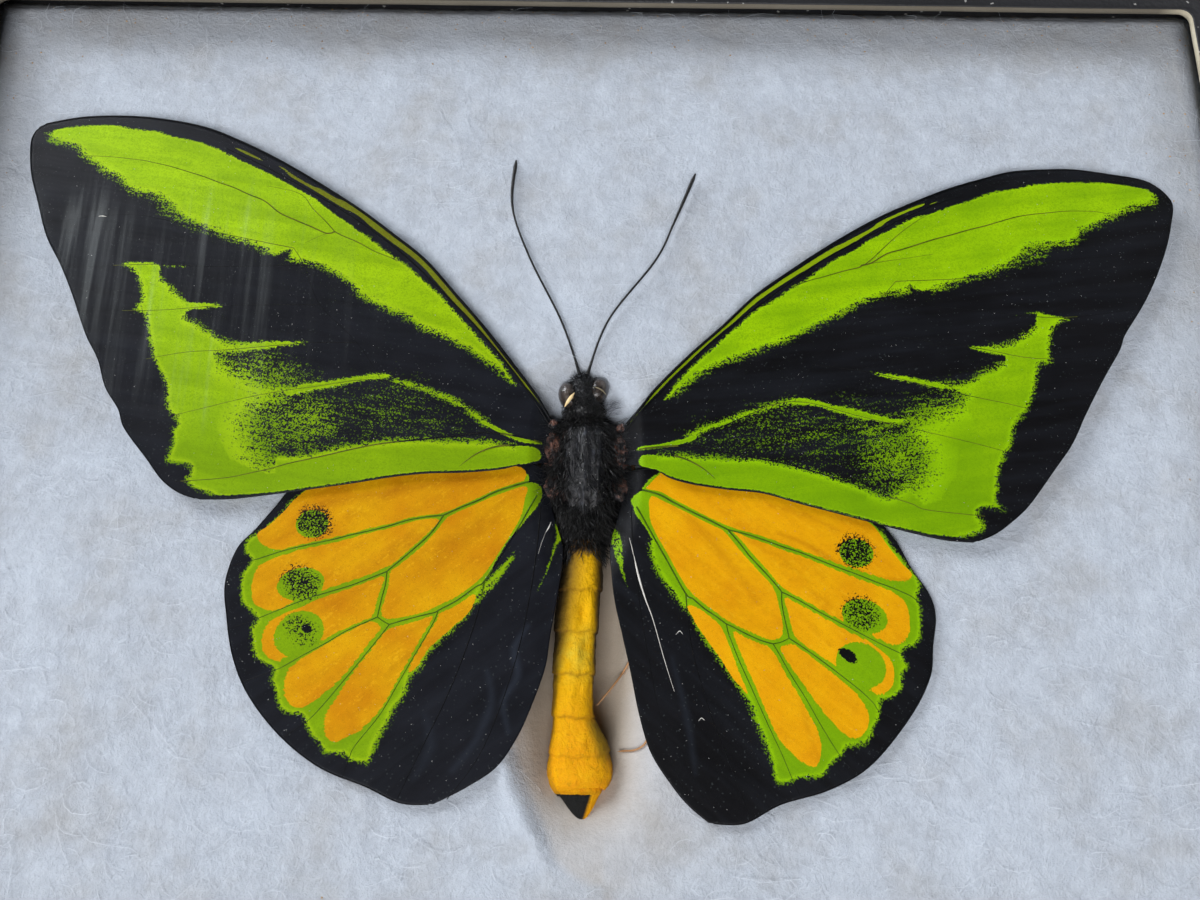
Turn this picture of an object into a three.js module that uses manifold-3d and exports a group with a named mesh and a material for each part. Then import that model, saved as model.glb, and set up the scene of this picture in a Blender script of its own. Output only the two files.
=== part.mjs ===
// Framed butterfly specimen: a spread birdwing on batting under glass, in a pinned black board case.
// Millimetres. The case lies on its back, window up (+Z), the insect's head towards +Y.
// The origin is at the middle of the case's underside.

import * as THREE from 'three';
import { mergeVertices } from 'three/addons/utils/BufferGeometryUtils.js';
import Module from 'manifold-3d';

const wasm = await Module();
wasm.setup();

// Case
const windowWidth = 190;
const windowDepth = 140;
const windowCorner = 1.8;
const lidBorder = 8;
const lidTop = 19.2;
const lidFoot = 3;
const lidCorner = 2.2;
const topBoard = 1.4;
const wallBoard = 1.5;
const fit = 0.3;
const trayHeight = 15.2;
const trayFloor = 1.5;
const trayCorner = 1.2;
const glassThickness = 2;

// Batting
const battingTop = 13.3;
const battingSlack = 0.5;
const battingEdge = 2;
const hollowCentre = [-0.3, -24, 14];
const hollowHalf = [13, 37, 11.6];

// Pins
const pinRadius = 0.4;
const pinHeadRadius = 0.9;
const pinHeadLength = 0.8;
const pinLength = 12;
const pinHeight = 9;
const pinHole = 0.75;

// Butterfly
const forewingTop = 15.0;
const hindwingTop = 14.15;
const wingThickness = 0.35;
const rootDroop = 2;
const pleatDepth = 0.07;
const bodyHeight = 10;

const black = 0x14161a;
const lime = 0x86b400;
const gold = 0xe6a400;

const group = new THREE.Group();

function addPiece(name, geometry, color, roughness = 0.8, metalness = 0) {
  const mesh = new THREE.Mesh(geometry, new THREE.MeshStandardMaterial({ color, roughness, metalness }));
  mesh.name = name;
  group.add(mesh);
  return mesh;
}

// Joining and cutting closed meshes

function toSolid(geometry) {
  const bare = geometry.clone();
  bare.deleteAttribute('normal');
  bare.deleteAttribute('uv');
  const merged = mergeVertices(bare, 1e-4);
  const vertProperties = new Float32Array(merged.attributes.position.array);
  const triVerts = new Uint32Array(merged.index.array);
  return new wasm.Manifold(new wasm.Mesh({ numProp: 3, vertProperties, triVerts }));
}

function toGeometry(solid) {
  const mesh = solid.getMesh();
  const geometry = new THREE.BufferGeometry();
  geometry.setAttribute('position', new THREE.BufferAttribute(new Float32Array(mesh.vertProperties), 3));
  geometry.setIndex(new THREE.BufferAttribute(new Uint32Array(mesh.triVerts), 1));
  geometry.computeVertexNormals();
  return geometry;
}

// A board slab with rounded corners, from height bottom to height top

function slab(width, depth, corner, bottom, top, bevel = 0) {
  const outline = new THREE.Shape();
  const x = width / 2 - bevel;
  const y = depth / 2 - bevel;
  const r = Math.max(corner - bevel, 0.01);
  outline.moveTo(-x + r, -y);
  outline.lineTo(x - r, -y);
  outline.absarc(x - r, -y + r, r, -Math.PI / 2, 0);
  outline.lineTo(x, y - r);
  outline.absarc(x - r, y - r, r, 0, Math.PI / 2);
  outline.lineTo(-x + r, y);
  outline.absarc(-x + r, y - r, r, Math.PI / 2, Math.PI);
  outline.lineTo(-x, -y + r);
  outline.absarc(-x + r, -y + r, r, Math.PI, Math.PI * 1.5);
  const geometry = new THREE.ExtrudeGeometry(outline, {
    depth: top - bottom - 2 * bevel,
    bevelEnabled: bevel > 0,
    bevelThickness: bevel,
    bevelSize: bevel,
    bevelSegments: 2,
    curveSegments: 5,
  });
  geometry.translate(0, 0, bottom + bevel);
  return geometry;
}

// Case: lid, tray, glass, batting and pins

const lidWidth = windowWidth + 2 * lidBorder;
const lidDepth = windowDepth + 2 * lidBorder;
const lidInnerWidth = lidWidth - 2 * wallBoard;
const lidInnerDepth = lidDepth - 2 * wallBoard;
const lidUnderside = lidTop - topBoard;
const trayWidth = lidInnerWidth - 2 * fit;
const trayDepth = lidInnerDepth - 2 * fit;
const trayInnerWidth = trayWidth - 2 * wallBoard;
const trayInnerDepth = trayDepth - 2 * wallBoard;
const past = 1;

// Each pin stands for one side: its head lies on the lid wall and its point is in the batting
const pinSides = [
  { name: 'pin_right', turn: 0, reach: lidWidth / 2 },
  { name: 'pin_top', turn: Math.PI / 2, reach: lidDepth / 2 },
  { name: 'pin_left', turn: Math.PI, reach: lidWidth / 2 },
  { name: 'pin_bottom', turn: -Math.PI / 2, reach: lidDepth / 2 },
];

function alongSide(geometry, side, outerEnd) {
  geometry.rotateZ(-Math.PI / 2);
  geometry.translate(outerEnd, 0, pinHeight);
  geometry.rotateZ(side.turn);
  return geometry;
}

function drilled(solid) {
  let result = solid;
  for (const side of pinSides) {
    const length = pinLength + 2 * past;
    const drill = new THREE.CylinderGeometry(pinHole, pinHole, length, 12);
    result = result.subtract(toSolid(alongSide(drill, side, side.reach + past - length / 2)));
  }
  return result;
}

const lidBlock = toSolid(slab(lidWidth, lidDepth, lidCorner, lidFoot, lidTop));
const lidRoom = toSolid(slab(lidInnerWidth, lidInnerDepth, trayCorner, lidFoot - past, lidUnderside));
const lidWindow = toSolid(slab(windowWidth, windowDepth, windowCorner, lidUnderside - past, lidTop + past));
addPiece('lid', toGeometry(drilled(lidBlock.subtract(lidRoom).subtract(lidWindow))), black, 0.75);

const trayBlock = toSolid(slab(trayWidth, trayDepth, trayCorner, 0, trayHeight));
const trayRoom = toSolid(slab(trayInnerWidth, trayInnerDepth, 0, trayFloor, trayHeight + past));
addPiece('tray', toGeometry(drilled(trayBlock.subtract(trayRoom))), black, 0.8);

const glassBottom = trayHeight + fit;
const glassSlab = slab(trayWidth, trayDepth, trayCorner, glassBottom, glassBottom + glassThickness);
addPiece('glass', glassSlab, 0xe8f0ee, 0.05);

const battingWidth = trayInnerWidth - 2 * battingSlack;
const battingDepth = trayInnerDepth - 2 * battingSlack;
const battingBlock = toSolid(slab(battingWidth, battingDepth, 4, trayFloor, battingTop, battingEdge));
const hollow = new THREE.SphereGeometry(1, 28, 16);
hollow.scale(...hollowHalf);
hollow.translate(...hollowCentre);
addPiece('batting', toGeometry(drilled(battingBlock.subtract(toSolid(hollow)))), 0xc8cfd6, 0.95);

for (const side of pinSides) {
  const shaftEnd = side.reach + fit;
  const shaft = new THREE.CylinderGeometry(pinRadius, pinRadius, pinLength, 10);
  const cap = new THREE.CylinderGeometry(pinHeadRadius, pinHeadRadius * 0.8, pinHeadLength, 12);
  const shaftSolid = toSolid(alongSide(shaft, side, shaftEnd - pinLength / 2));
  const capSolid = toSolid(alongSide(cap, side, shaftEnd + pinHeadLength / 2 - 0.1));
  addPiece(side.name, toGeometry(shaftSolid.add(capSolid)), 0xb9bcc0, 0.3, 1);
}

// A rounded body lofted along a path. Half widths and half heights run from its first end to its last.

function blend(values, t) {
  const place = t * (values.length - 1);
  const index = Math.min(Math.floor(place), values.length - 2);
  return THREE.MathUtils.lerp(values[index], values[index + 1], place - index);
}

function loft(points, halfWidths, halfHeights, sides, rings) {
  const path = new THREE.CatmullRomCurve3(points.map((p) => new THREE.Vector3(...p)));
  const geometry = new THREE.SphereGeometry(1, sides, rings);
  const position = geometry.attributes.position;
  const up = new THREE.Vector3(0, 0, 1);
  for (let i = 0; i < position.count; i++) {
    const t = THREE.MathUtils.clamp((1 - position.getY(i)) / 2, 0, 1);
    const centre = path.getPoint(t);
    const along = path.getTangent(t);
    const across = new THREE.Vector3().crossVectors(along, up).normalize();
    const lift = new THREE.Vector3().crossVectors(across, along);
    const x = Math.abs(position.getX(i)) < 1e-6 ? 0 : position.getX(i);
    const z = Math.abs(position.getZ(i)) < 1e-6 ? 0 : position.getZ(i);
    centre.addScaledVector(across, -x * blend(halfWidths, t));
    centre.addScaledVector(lift, z * blend(halfHeights, t));
    position.setXYZ(i, centre.x, centre.y, centre.z);
  }
  return geometry;
}

// Body: head with compound eyes, thorax and abdomen

const headPath = [[-0.7, 9.1, 11.9], [-0.6, 6.2, 11.8], [-0.5, 3.3, 11.4]];
let headSolid = toSolid(loft(headPath, [2.4, 2.9, 2.9], [2.5, 2.8, 2.8], 14, 10));
for (const eyeCentre of [[-2.9, 6.2, 12.1], [1.7, 7.1, 12.1]]) {
  const eye = new THREE.SphereGeometry(1.75, 12, 8);
  eye.translate(...eyeCentre);
  headSolid = headSolid.add(toSolid(eye));
}
addPiece('head', toGeometry(headSolid), black, 0.6);

const thoraxPath = [[-0.4, 2.9, 10.6], [-0.2, -6, bodyHeight], [0, -14.4, bodyHeight]];
addPiece('thorax', loft(thoraxPath, [4.8, 5.2, 5.2, 4.6], [5, 5, 5, 4.4], 16, 12), black, 0.85);

const abdomenPath = [
  [0, -14.8, 10.2], [-0.5, -20, 10], [-1.2, -30, 9.9], [-1.3, -39, 9.9], [-0.3, -45.5, 9.9], [0.1, -52.8, 10.4],
];
const abdomenWidths = [3.4, 3.2, 3.1, 3, 3, 3, 3.2, 4.6, 4.6, 3];
const abdomenHeights = [3.4, 3.5, 3.5, 3.4, 3.4, 3.4, 3.5, 4, 3.8, 2.6];
addPiece('abdomen', loft(abdomenPath, abdomenWidths, abdomenHeights, 14, 18), gold, 0.7);

// Antennae and legs: slender lofts with a club or a thick thigh

const antennae = {
  antenna_left: [[-1.2, 9.6, 13.4], [-4, 17, 14.2], [-9.2, 27.6, 14.6], [-12, 36, 14.6], [-11.7, 44, 14.6]],
  antenna_right: [[-0.1, 9.6, 13.4], [3, 17.5, 14.2], [10, 27.2, 14.6], [13, 34, 14.6], [16.2, 42, 14.6]],
};
for (const [name, points] of Object.entries(antennae)) {
  addPiece(name, loft(points, [0.3, 0.3, 0.3, 0.45, 0.6], [0.3, 0.3, 0.3, 0.4, 0.45], 6, 18), black, 0.6);
}

const legs = {
  leg_front_left: [[-3.9, -0.6, 7.0], [-6.8, -3.4, 8.6], [-6.8, -11, 9.8], [-5.5, -15.6, 10]],
  leg_front_right: [[3.6, -0.6, 7.0], [6.6, -3.4, 8.6], [6.6, -11, 9.8], [5.4, -15.6, 10]],
  leg_middle_left: [[-5.6, -6, 7.2], [-8.6, -15, 8.1], [-9.4, -27, 8.6], [-8.6, -37.5, 9.4]],
  leg_middle_right: [[5.2, -6, 7.2], [8.4, -15, 8.1], [9.4, -27, 8.6], [8.6, -38, 9.4], [5.4, -44, 9.6]],
  leg_hind_left: [[-4.6, -12.2, 7.2], [-6.9, -20, 8.1], [-7.3, -28, 8.4], [-7.2, -35, 8.8]],
  leg_hind_right: [[4.4, -12.2, 7.2], [6.6, -20, 8.1], [7.2, -28.5, 8.4], [5.6, -33, 8.6], [2.3, -37.8, 8.6]],
};
for (const [name, points] of Object.entries(legs)) {
  addPiece(name, loft(points, [0.6, 0.6, 0.5, 0.4, 0.3], [0.6, 0.6, 0.5, 0.4, 0.3], 6, 12), 0x3a2415, 0.6);
}

// Wings: gently pleated sheets between four edges, seen from above.
// leading and trailing run from the root outwards, root and margin from the leading edge to the trailing one.

const wings = {
  forewing_left: {
    leading: [
      [-4.9, 1.2], [-7.5, 5.2], [-10, 8.6], [-15, 15.1], [-20, 21], [-25, 26.7], [-30, 30.8], [-35, 34.7],
      [-40, 38.1], [-45, 41.3], [-50, 44.2], [-55, 46.7], [-60, 48.8], [-65, 50], [-70, 50.7], [-75, 50.9],
      [-80, 50.6], [-85, 49.5], [-86.6, 48.8],
    ],
    margin: [
      [-86.6, 48.8], [-87.4, 46.6], [-87.1, 43.5], [-86.3, 40], [-84.8, 36], [-82.5, 30], [-79.5, 25],
      [-76.9, 20], [-74, 13.8], [-71.7, 10], [-70, 5.7], [-67.6, 2.3], [-66.3, -0.6], [-62.5, -5.1],
      [-60, -8.1], [-57.3, -10], [-54.2, -11],
    ],
    trailing: [
      [-5.2, -4.4], [-7.4, -5], [-10, -5.5], [-12.5, -6.1], [-17.5, -6.6], [-22.5, -6.8], [-27.5, -7.4],
      [-32.5, -8.3], [-37.5, -9.1], [-42.5, -9.9], [-46, -10.4], [-50, -10.9], [-54.2, -11],
    ],
    root: [[-4.9, 1.2], [-5, -1.5], [-5.2, -4.4]],
    top: forewingTop,
    color: lime,
    spans: 20,
    strips: 12,
  },
  forewing_right: {
    leading: [
      [5, 0.6], [7.5, 3.1], [10, 6.4], [15, 11.7], [20, 16.4], [25, 21.4], [30, 25.2], [35, 28.8],
      [40, 32.1], [45, 35], [50, 37.4], [55, 39.6], [60, 41.3], [65, 42.8], [70, 43.3], [75, 43.4],
      [80, 42.7], [85, 41.8], [87.4, 40.7],
    ],
    margin: [
      [87.4, 40.7], [89.4, 37.8], [88.7, 34], [87.4, 30], [85, 24.8], [82.5, 20.5], [79.2, 15.7], [78.2, 13.4],
      [75.2, 8.7], [72, 3.3], [69.5, -1.2], [66.6, -5], [62.5, -10.2], [59.5, -12.9], [57, -14.6],
      [54, -15.8],
    ],
    trailing: [
      [5.4, -4.6], [7.8, -5.3], [10, -5.9], [11.8, -7], [15, -7.9], [20, -8.6], [25, -9.1], [30, -10.5],
      [35, -11.8], [40, -13.1], [45, -14.4], [50, -15.5], [54, -15.8],
    ],
    root: [[5, 0.6], [5.2, -2], [5.4, -4.6]],
    top: forewingTop,
    color: lime,
    spans: 20,
    strips: 12,
  },
  hindwing_left: {
    leading: [[-5.3, -5.6], [-12, -4], [-20, -3.4], [-28, -3.6], [-36, -5.6], [-41.3, -8.6], [-43.5, -11.4]],
    margin: [
      [-43.5, -11.4], [-46.2, -15], [-48.5, -17.8], [-49.6, -22.5], [-48.9, -27], [-47.4, -32.7], [-44.7, -37.8],
      [-40, -42.9], [-34.4, -46.8], [-28.3, -49.1], [-23.5, -51.1], [-19.2, -51.2],
    ],
    trailing: [
      [-4.4, -12.8], [-3.2, -16.5], [-3.2, -20], [-3.8, -24.5], [-4.5, -29], [-5.1, -33.5], [-6.7, -38.3],
      [-8.5, -42.5], [-11.2, -46.5], [-15.2, -49.2], [-19.2, -51.2],
    ],
    root: [[-5.3, -5.6], [-5.2, -9], [-4.4, -12.8]],
    top: hindwingTop,
    color: gold,
    spans: 14,
    strips: 12,
  },
  hindwing_right: {
    leading: [[5.5, -5.8], [12, -5.2], [20, -5], [28, -6], [35, -8.5], [40.5, -12], [43.7, -15.8]],
    margin: [
      [43.7, -15.8], [45.4, -19.4], [47.6, -23], [48.2, -26], [47.5, -30.1], [46.8, -34.2], [43.8, -39.4],
      [38.2, -45.6], [32.5, -48.8], [26.1, -50.7], [21.2, -53.1], [16.6, -53.1],
    ],
    trailing: [
      [4.4, -13], [3.5, -16.5], [3.7, -20.5], [4.2, -24.5], [5.2, -28.8], [6.4, -34], [7.6, -39.7],
      [9.2, -44.6], [12.2, -49], [14.2, -51.2], [16.6, -53.1],
    ],
    root: [[5.5, -5.8], [5.2, -9], [4.4, -13]],
    top: hindwingTop,
    color: gold,
    spans: 14,
    strips: 12,
  },
};

function edge(points) {
  return new THREE.SplineCurve(points.map(([x, y]) => new THREE.Vector2(x, y)));
}

function wingSheet({ leading, margin, trailing, root, top, spans, strips }) {
  const edges = [leading, margin, trailing, root].map(edge);
  const geometry = new THREE.BoxGeometry(1, 1, 1, spans, strips, 1);
  const position = geometry.attributes.position;
  const [lead, outer, trail, inner] = edges;
  const corner = (points, index) => new THREE.Vector2(...points.at(index));
  const corners = [corner(leading, 0), corner(leading, -1), corner(trailing, 0), corner(trailing, -1)];
  for (let i = 0; i < position.count; i++) {
    const u = position.getX(i) + 0.5;
    const v = 0.5 - position.getY(i);
    const place = new THREE.Vector2();
    place.addScaledVector(lead.getPointAt(u), 1 - v).addScaledVector(trail.getPointAt(u), v);
    place.addScaledVector(inner.getPointAt(v), 1 - u).addScaledVector(outer.getPointAt(v), u);
    place.addScaledVector(corners[0], -(1 - u) * (1 - v)).addScaledVector(corners[1], -u * (1 - v));
    place.addScaledVector(corners[2], -(1 - u) * v).addScaledVector(corners[3], -u * v);
    const pleats = pleatDepth * Math.cos(v * strips * Math.PI) * Math.sin(u * Math.PI);
    const droop = rootDroop * (1 - THREE.MathUtils.smoothstep(Math.hypot(place.x, 0.4 * (place.y + 4)), 4.6, 8.5));
    const height = top - wingThickness / 2 + pleats - droop + position.getZ(i) * wingThickness;
    position.setXYZ(i, place.x, place.y, height);
  }
  // A wing on the left of the body runs the other way round, so its faces are turned to point out
  if (leading.at(-1)[0] < 0) {
    const index = geometry.index.array;
    for (let i = 0; i < index.length; i += 3) {
      [index[i], index[i + 1]] = [index[i + 1], index[i]];
    }
  }
  geometry.computeVertexNormals();
  return geometry;
}

for (const [name, wing] of Object.entries(wings)) {
  addPiece(name, wingSheet(wing), wing.color, 0.7);
}

export default group;
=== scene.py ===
import math

import bpy
import numpy as np
from mathutils import Matrix, Vector, noise


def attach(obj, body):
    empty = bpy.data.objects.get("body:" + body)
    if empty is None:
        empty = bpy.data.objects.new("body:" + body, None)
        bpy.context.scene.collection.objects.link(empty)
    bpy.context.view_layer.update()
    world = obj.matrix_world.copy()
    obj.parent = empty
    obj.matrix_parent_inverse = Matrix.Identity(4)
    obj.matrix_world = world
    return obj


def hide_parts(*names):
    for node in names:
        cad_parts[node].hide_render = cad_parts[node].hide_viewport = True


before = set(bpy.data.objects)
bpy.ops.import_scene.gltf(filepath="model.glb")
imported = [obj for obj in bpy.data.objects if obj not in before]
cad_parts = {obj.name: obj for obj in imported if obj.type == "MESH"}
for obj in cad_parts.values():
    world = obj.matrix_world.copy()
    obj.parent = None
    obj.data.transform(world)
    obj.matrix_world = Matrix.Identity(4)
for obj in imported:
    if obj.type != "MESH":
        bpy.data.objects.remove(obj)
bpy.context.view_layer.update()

MM = 0.001
BODY = "root"

# Case, as in the part's source
WINDOW = (190, 140)
LID_BORDER = 8
LID_CORNER = 2.2
TRAY_CORNER = 1.2
WINDOW_CORNER = 1.8
LID_TOP = 19.2
LID_FOOT = 3
TOP_BOARD = 1.4
WALL_BOARD = 1.5
FIT = 0.3
TRAY_HEIGHT = 15.2
TRAY_FLOOR = 1.5
GLASS_THICKNESS = 2
BATTING_TOP = 13.3
PIN_HEIGHT = 9

# Butterfly, as in the part's source
FOREWING_TOP = 15.0
HINDWING_TOP = 14.15
WING_THICKNESS = 0.35
ROOT_DROOP = 2
MEMBRANE = 0.14
VEIN_RISE = 0.03
VEIN_SHARE = 0.8
CREASE_RISE = 0.06


# ---------------------------------------------------------------- Camera and light

FOCAL_PIXELS = 1050
IMAGE_WIDTH = 1200
SENSOR = 36
EYE = (1.918, -46.012, 158.414)
PITCH = math.radians(16.679)
ROLL = math.radians(0.713)

camera = bpy.data.objects.new("camera", bpy.data.cameras.new("camera"))
bpy.context.scene.collection.objects.link(camera)
camera.data.sensor_width = SENSOR
camera.data.lens = SENSOR * FOCAL_PIXELS / IMAGE_WIDTH
camera.data.clip_start = 0.005
camera.data.clip_end = 20
camera.matrix_world = (
    Matrix.Translation(Vector(EYE) * MM) @ Matrix.Rotation(PITCH, 4, "X") @ Matrix.Rotation(ROLL, 4, "Z")
)
bpy.context.scene.camera = camera
bpy.context.scene.view_settings.view_transform = "Standard"


def lamp(name, place, target, size, watts, colour):
    """A soft box of light, in metres."""
    light = bpy.data.objects.new(name, bpy.data.lights.new(name, "AREA"))
    light.data.shape = "RECTANGLE"
    light.data.size, light.data.size_y = size
    light.data.energy = watts
    light.data.color = colour
    aim = (Vector(target) - Vector(place)).to_track_quat("-Z", "Y")
    light.matrix_world = Matrix.Translation(place) @ aim.to_matrix().to_4x4()
    bpy.context.scene.collection.objects.link(light)


lamp("window_light", (-1.05, 0.95, 0.7), (0, 0, 0), (0.9, 0.7), 22, (0.93, 0.96, 1.0))
lamp("room_light", (-0.25, -0.95, 1.15), (0, 0, 0), (1.1, 0.7), 22, (0.98, 0.98, 1.0))
lamp("side_light", (1.0, 0.75, 0.55), (0, 0, 0), (0.9, 0.6), 2.5, (0.97, 0.98, 1.0))


def soft_surround():
    """An even glow all round the sides, dark overhead where the glass mirrors it to the camera."""
    world = bpy.data.worlds.new("studio")
    world.use_nodes = True
    tree = world.node_tree
    way = tree.nodes.new("ShaderNodeTexCoord")
    parts = tree.nodes.new("ShaderNodeSeparateXYZ")
    height = tree.nodes.new("ShaderNodeMapRange")
    for socket, value in zip(height.inputs[1:5], (0.45, 0.68, 0.32, 0.010)):
        socket.default_value = value
    tree.links.new(way.outputs["Generated"], parts.inputs[0])
    tree.links.new(parts.outputs["Z"], height.inputs[0])
    background = tree.nodes["Background"]
    background.inputs["Color"].default_value = (0.84, 0.90, 1.0, 1)
    tree.links.new(height.outputs[0], background.inputs["Strength"])
    bpy.context.scene.world = world


soft_surround()


# ---------------------------------------------------------------- Finishes: arithmetic on sockets


def tint(code):
    """A colour written as six hex digits, as linear light."""
    channels = [int(code[i : i + 2], 16) / 255 for i in (0, 2, 4)]
    return [c / 12.92 if c <= 0.04045 else ((c + 0.055) / 1.055) ** 2.4 for c in channels] + [1.0]


class Field:
    """A value over a surface. Arithmetic on it adds Math nodes to its finish."""

    def __init__(self, finish, socket):
        self.finish = finish
        self.socket = socket

    def _math(self, operation, *values):
        return self.finish.node("Math", {"operation": operation}, dict(enumerate(values)))

    def __add__(self, other):
        return self._math("ADD", self, other)

    __radd__ = __add__

    def __sub__(self, other):
        return self._math("SUBTRACT", self, other)

    def __rsub__(self, other):
        return self._math("SUBTRACT", other, self)

    def __mul__(self, other):
        return self._math("MULTIPLY", self, other)

    __rmul__ = __mul__

    def __pow__(self, other):
        return self._math("POWER", self, other)

    def __gt__(self, other):
        return self._math("GREATER_THAN", self, other)

    def __lt__(self, other):
        return self._math("LESS_THAN", self, other)

    def size(self):
        return self._math("ABSOLUTE", self)

    def wave(self):
        return self._math("SINE", self)

    def most(self, other):
        return self._math("MAXIMUM", self, other)

    def least(self, other):
        return self._math("MINIMUM", self, other)

    def ramp(self, low, high, start=0.0, end=1.0):
        """From start to end as the value goes from low to high, held at both."""
        return self.finish.node("MapRange", {"clamp": True}, {0: self, 1: low, 2: high, 3: start, 4: end})


class Finish:
    """A material with one Principled shader and the nodes that paint it."""

    def __init__(self, name):
        self.material = bpy.data.materials.new(name)
        self.material.use_nodes = True
        self.tree = self.material.node_tree
        self.shader = self.tree.nodes["Principled BSDF"]
        self._place = None

    def node(self, kind, settings=None, values=None, out=0):
        made = self.tree.nodes.new("ShaderNode" + kind)
        for key, value in (settings or {}).items():
            setattr(made, key, value)
        for key, value in (values or {}).items():
            if isinstance(value, Field):
                self.tree.links.new(value.socket, made.inputs[key])
            else:
                made.inputs[key].default_value = value
        return Field(self, made.outputs[out])

    @property
    def place(self):
        if self._place is None:
            self._place = self.node("TexCoord", out="Object")
        return self._place

    def axes(self):
        """The place in millimetres, as three values."""
        parts = [self.node("SeparateXYZ", values={0: self.place}, out=i) for i in range(3)]
        return [part * (1 / MM) for part in parts]

    def stretched(self, x=1.0, y=1.0, z=1.0, turn=0.0):
        """The place turned back about Z, then squeezed along each axis. Below 1 makes the grain longer."""
        return self.node(
            "Mapping", {"vector_type": "TEXTURE"}, {0: self.place, 2: (0, 0, turn), 3: (1 / x, 1 / y, 1 / z)}
        )

    def noise(self, grain, detail=3.0, roughness=0.55, at=None, distortion=0.0):
        """Soft noise whose patches are about grain millimetres wide."""
        values = {
            "Vector": at or self.place,
            "Scale": 1 / (grain * MM),
            "Detail": detail,
            "Roughness": roughness,
            "Distortion": distortion,
        }
        return self.node("TexNoise", values=values)

    def cells(self, grain, out="Distance", feature="F1"):
        """Distance to the nearest of many points about grain millimetres apart."""
        return self.node("TexVoronoi", {"feature": feature}, {"Vector": self.place, "Scale": 1 / (grain * MM)}, out)

    def speckle(self, grain):
        """One random value in each small cell."""
        return self.node("SeparateColor", values={0: self.cells(grain, "Color")})

    def mark(self, name):
        """A value kept on the mesh."""
        return self.node("Attribute", {"attribute_name": name}, out="Fac")

    def mix(self, amount, first, second):
        """The first colour turning into the second by amount. Each is six hex digits or another mix."""
        first, second = (tint(colour) if isinstance(colour, str) else colour for colour in (first, second))
        return self.node("Mix", {"data_type": "RGBA"}, {0: amount, 6: first, 7: second}, 2)

    def bump(self, height, depth, strength=1.0):
        """Relief: depth in millimetres for a height of 1."""
        return self.node("Bump", values={"Strength": strength, "Distance": depth * MM, "Height": height})

    def wear(self, **values):
        """Sets the shader's own sockets, linked or plain."""
        for key, value in values.items():
            socket = self.shader.inputs[key.replace("_", " ").title().replace("Ior", "IOR")]
            if isinstance(value, Field):
                self.tree.links.new(value.socket, socket)
            else:
                socket.default_value = value


# ---------------------------------------------------------------- Meshes


def loose(name, points, edges=(), faces=(), marks=None):
    """An object from points in millimetres, with a value for each point under each mark's name."""
    mesh = bpy.data.meshes.new(name)
    mesh.from_pydata((np.asarray(points, dtype=float) * MM).tolist(), list(edges), list(faces))
    for mark, values in (marks or {}).items():
        layer = mesh.attributes.new(mark, "FLOAT", "POINT")
        layer.data.foreach_set("value", np.asarray(values, dtype=np.float32))
    made = bpy.data.objects.new(name, mesh)
    bpy.context.scene.collection.objects.link(made)
    return made


def piece(name, points, faces, finishes, marks=None, index=None, replaces=(), slot=None):
    """A piece of the object. Where it has more than one finish, index says which each face wears."""
    made = loose(name, points, faces=faces, marks=marks)
    for finish in finishes:
        made.data.materials.append(finish.material)
    made.data.shade_smooth()
    if index:
        made.data.polygons.foreach_set("material_index", np.asarray(index, dtype=np.int32))
    settle(made, replaces)
    return made


def settle(made, replaces=()):
    """Hangs a piece under its body and hides the solids it stands in for."""
    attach(made, BODY)
    if replaces:
        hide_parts(*replaces)


def bands(rows, columns, wrap=True, flip=False):
    """Quads between rows of points, each row closed on itself where wrap is set."""
    faces = []
    for r in range(rows - 1):
        for c in range(columns if wrap else columns - 1):
            d = (c + 1) % columns
            a, b = r * columns, (r + 1) * columns
            quad = (a + c, a + d, b + d, b + c)
            faces.append(quad[::-1] if flip else quad)
    return faces


def end_caps(rows, columns):
    """One face over the first row of points and one over the last."""
    return [tuple(range(columns))[::-1], tuple(range((rows - 1) * columns, rows * columns))]


def evenly(values, count):
    """Values at even shares of a line, read at count even shares."""
    return np.interp(np.linspace(0, 1, count), np.linspace(0, 1, len(values)), values)


def smooth_line(points, steps, closed=False):
    """Catmull-Rom curve through points, as three's SplineCurve runs, steps to each stretch."""
    p = np.asarray(points, dtype=float)
    n = len(p)
    spans = n if closed else n - 1
    i = np.repeat(np.arange(spans), steps)
    t = np.tile(np.arange(steps) / steps, spans)[:, None]
    pick = (lambda k: p[k % n]) if closed else (lambda k: p[np.clip(k, 0, n - 1)])
    a, b, c, d = pick(i - 1), pick(i), pick(i + 1), pick(i + 2)
    v0, v1 = (c - a) / 2, (d - b) / 2
    curve = (2 * b - 2 * c + v0 + v1) * t**3 + (-3 * b + 3 * c - 2 * v0 - v1) * t**2 + v0 * t + b
    return curve if closed else np.vstack([curve, p[-1:]])


def along(points, shares, steps=40):
    """Places at shares of the curve's length."""
    line = smooth_line(points, steps)
    run = np.concatenate([[0], np.cumsum(np.linalg.norm(np.diff(line, axis=0), axis=1))])
    return np.stack([np.interp(np.asarray(shares) * run[-1], run, line[:, k]) for k in range(line.shape[1])], axis=1)


def ease(low, high, x):
    """From 0 to 1 as x goes from low to high, gently at both ends."""
    t = np.clip((np.asarray(x, dtype=float) - low) / (high - low), 0, 1)
    return t * t * (3 - 2 * t)


def lumps(points, grain, seed=0.0, octaves=3):
    """Soft noise from -1 to 1 at each point, in patches about grain wide."""
    shift = Vector((seed, seed * 1.7, seed * 0.6))
    return np.array([noise.fractal(Vector(p) / grain + shift, 0.9, 2.1, octaves) for p in points])


# ---------------------------------------------------------------- Geometry Nodes: sown and drawn pieces


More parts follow.
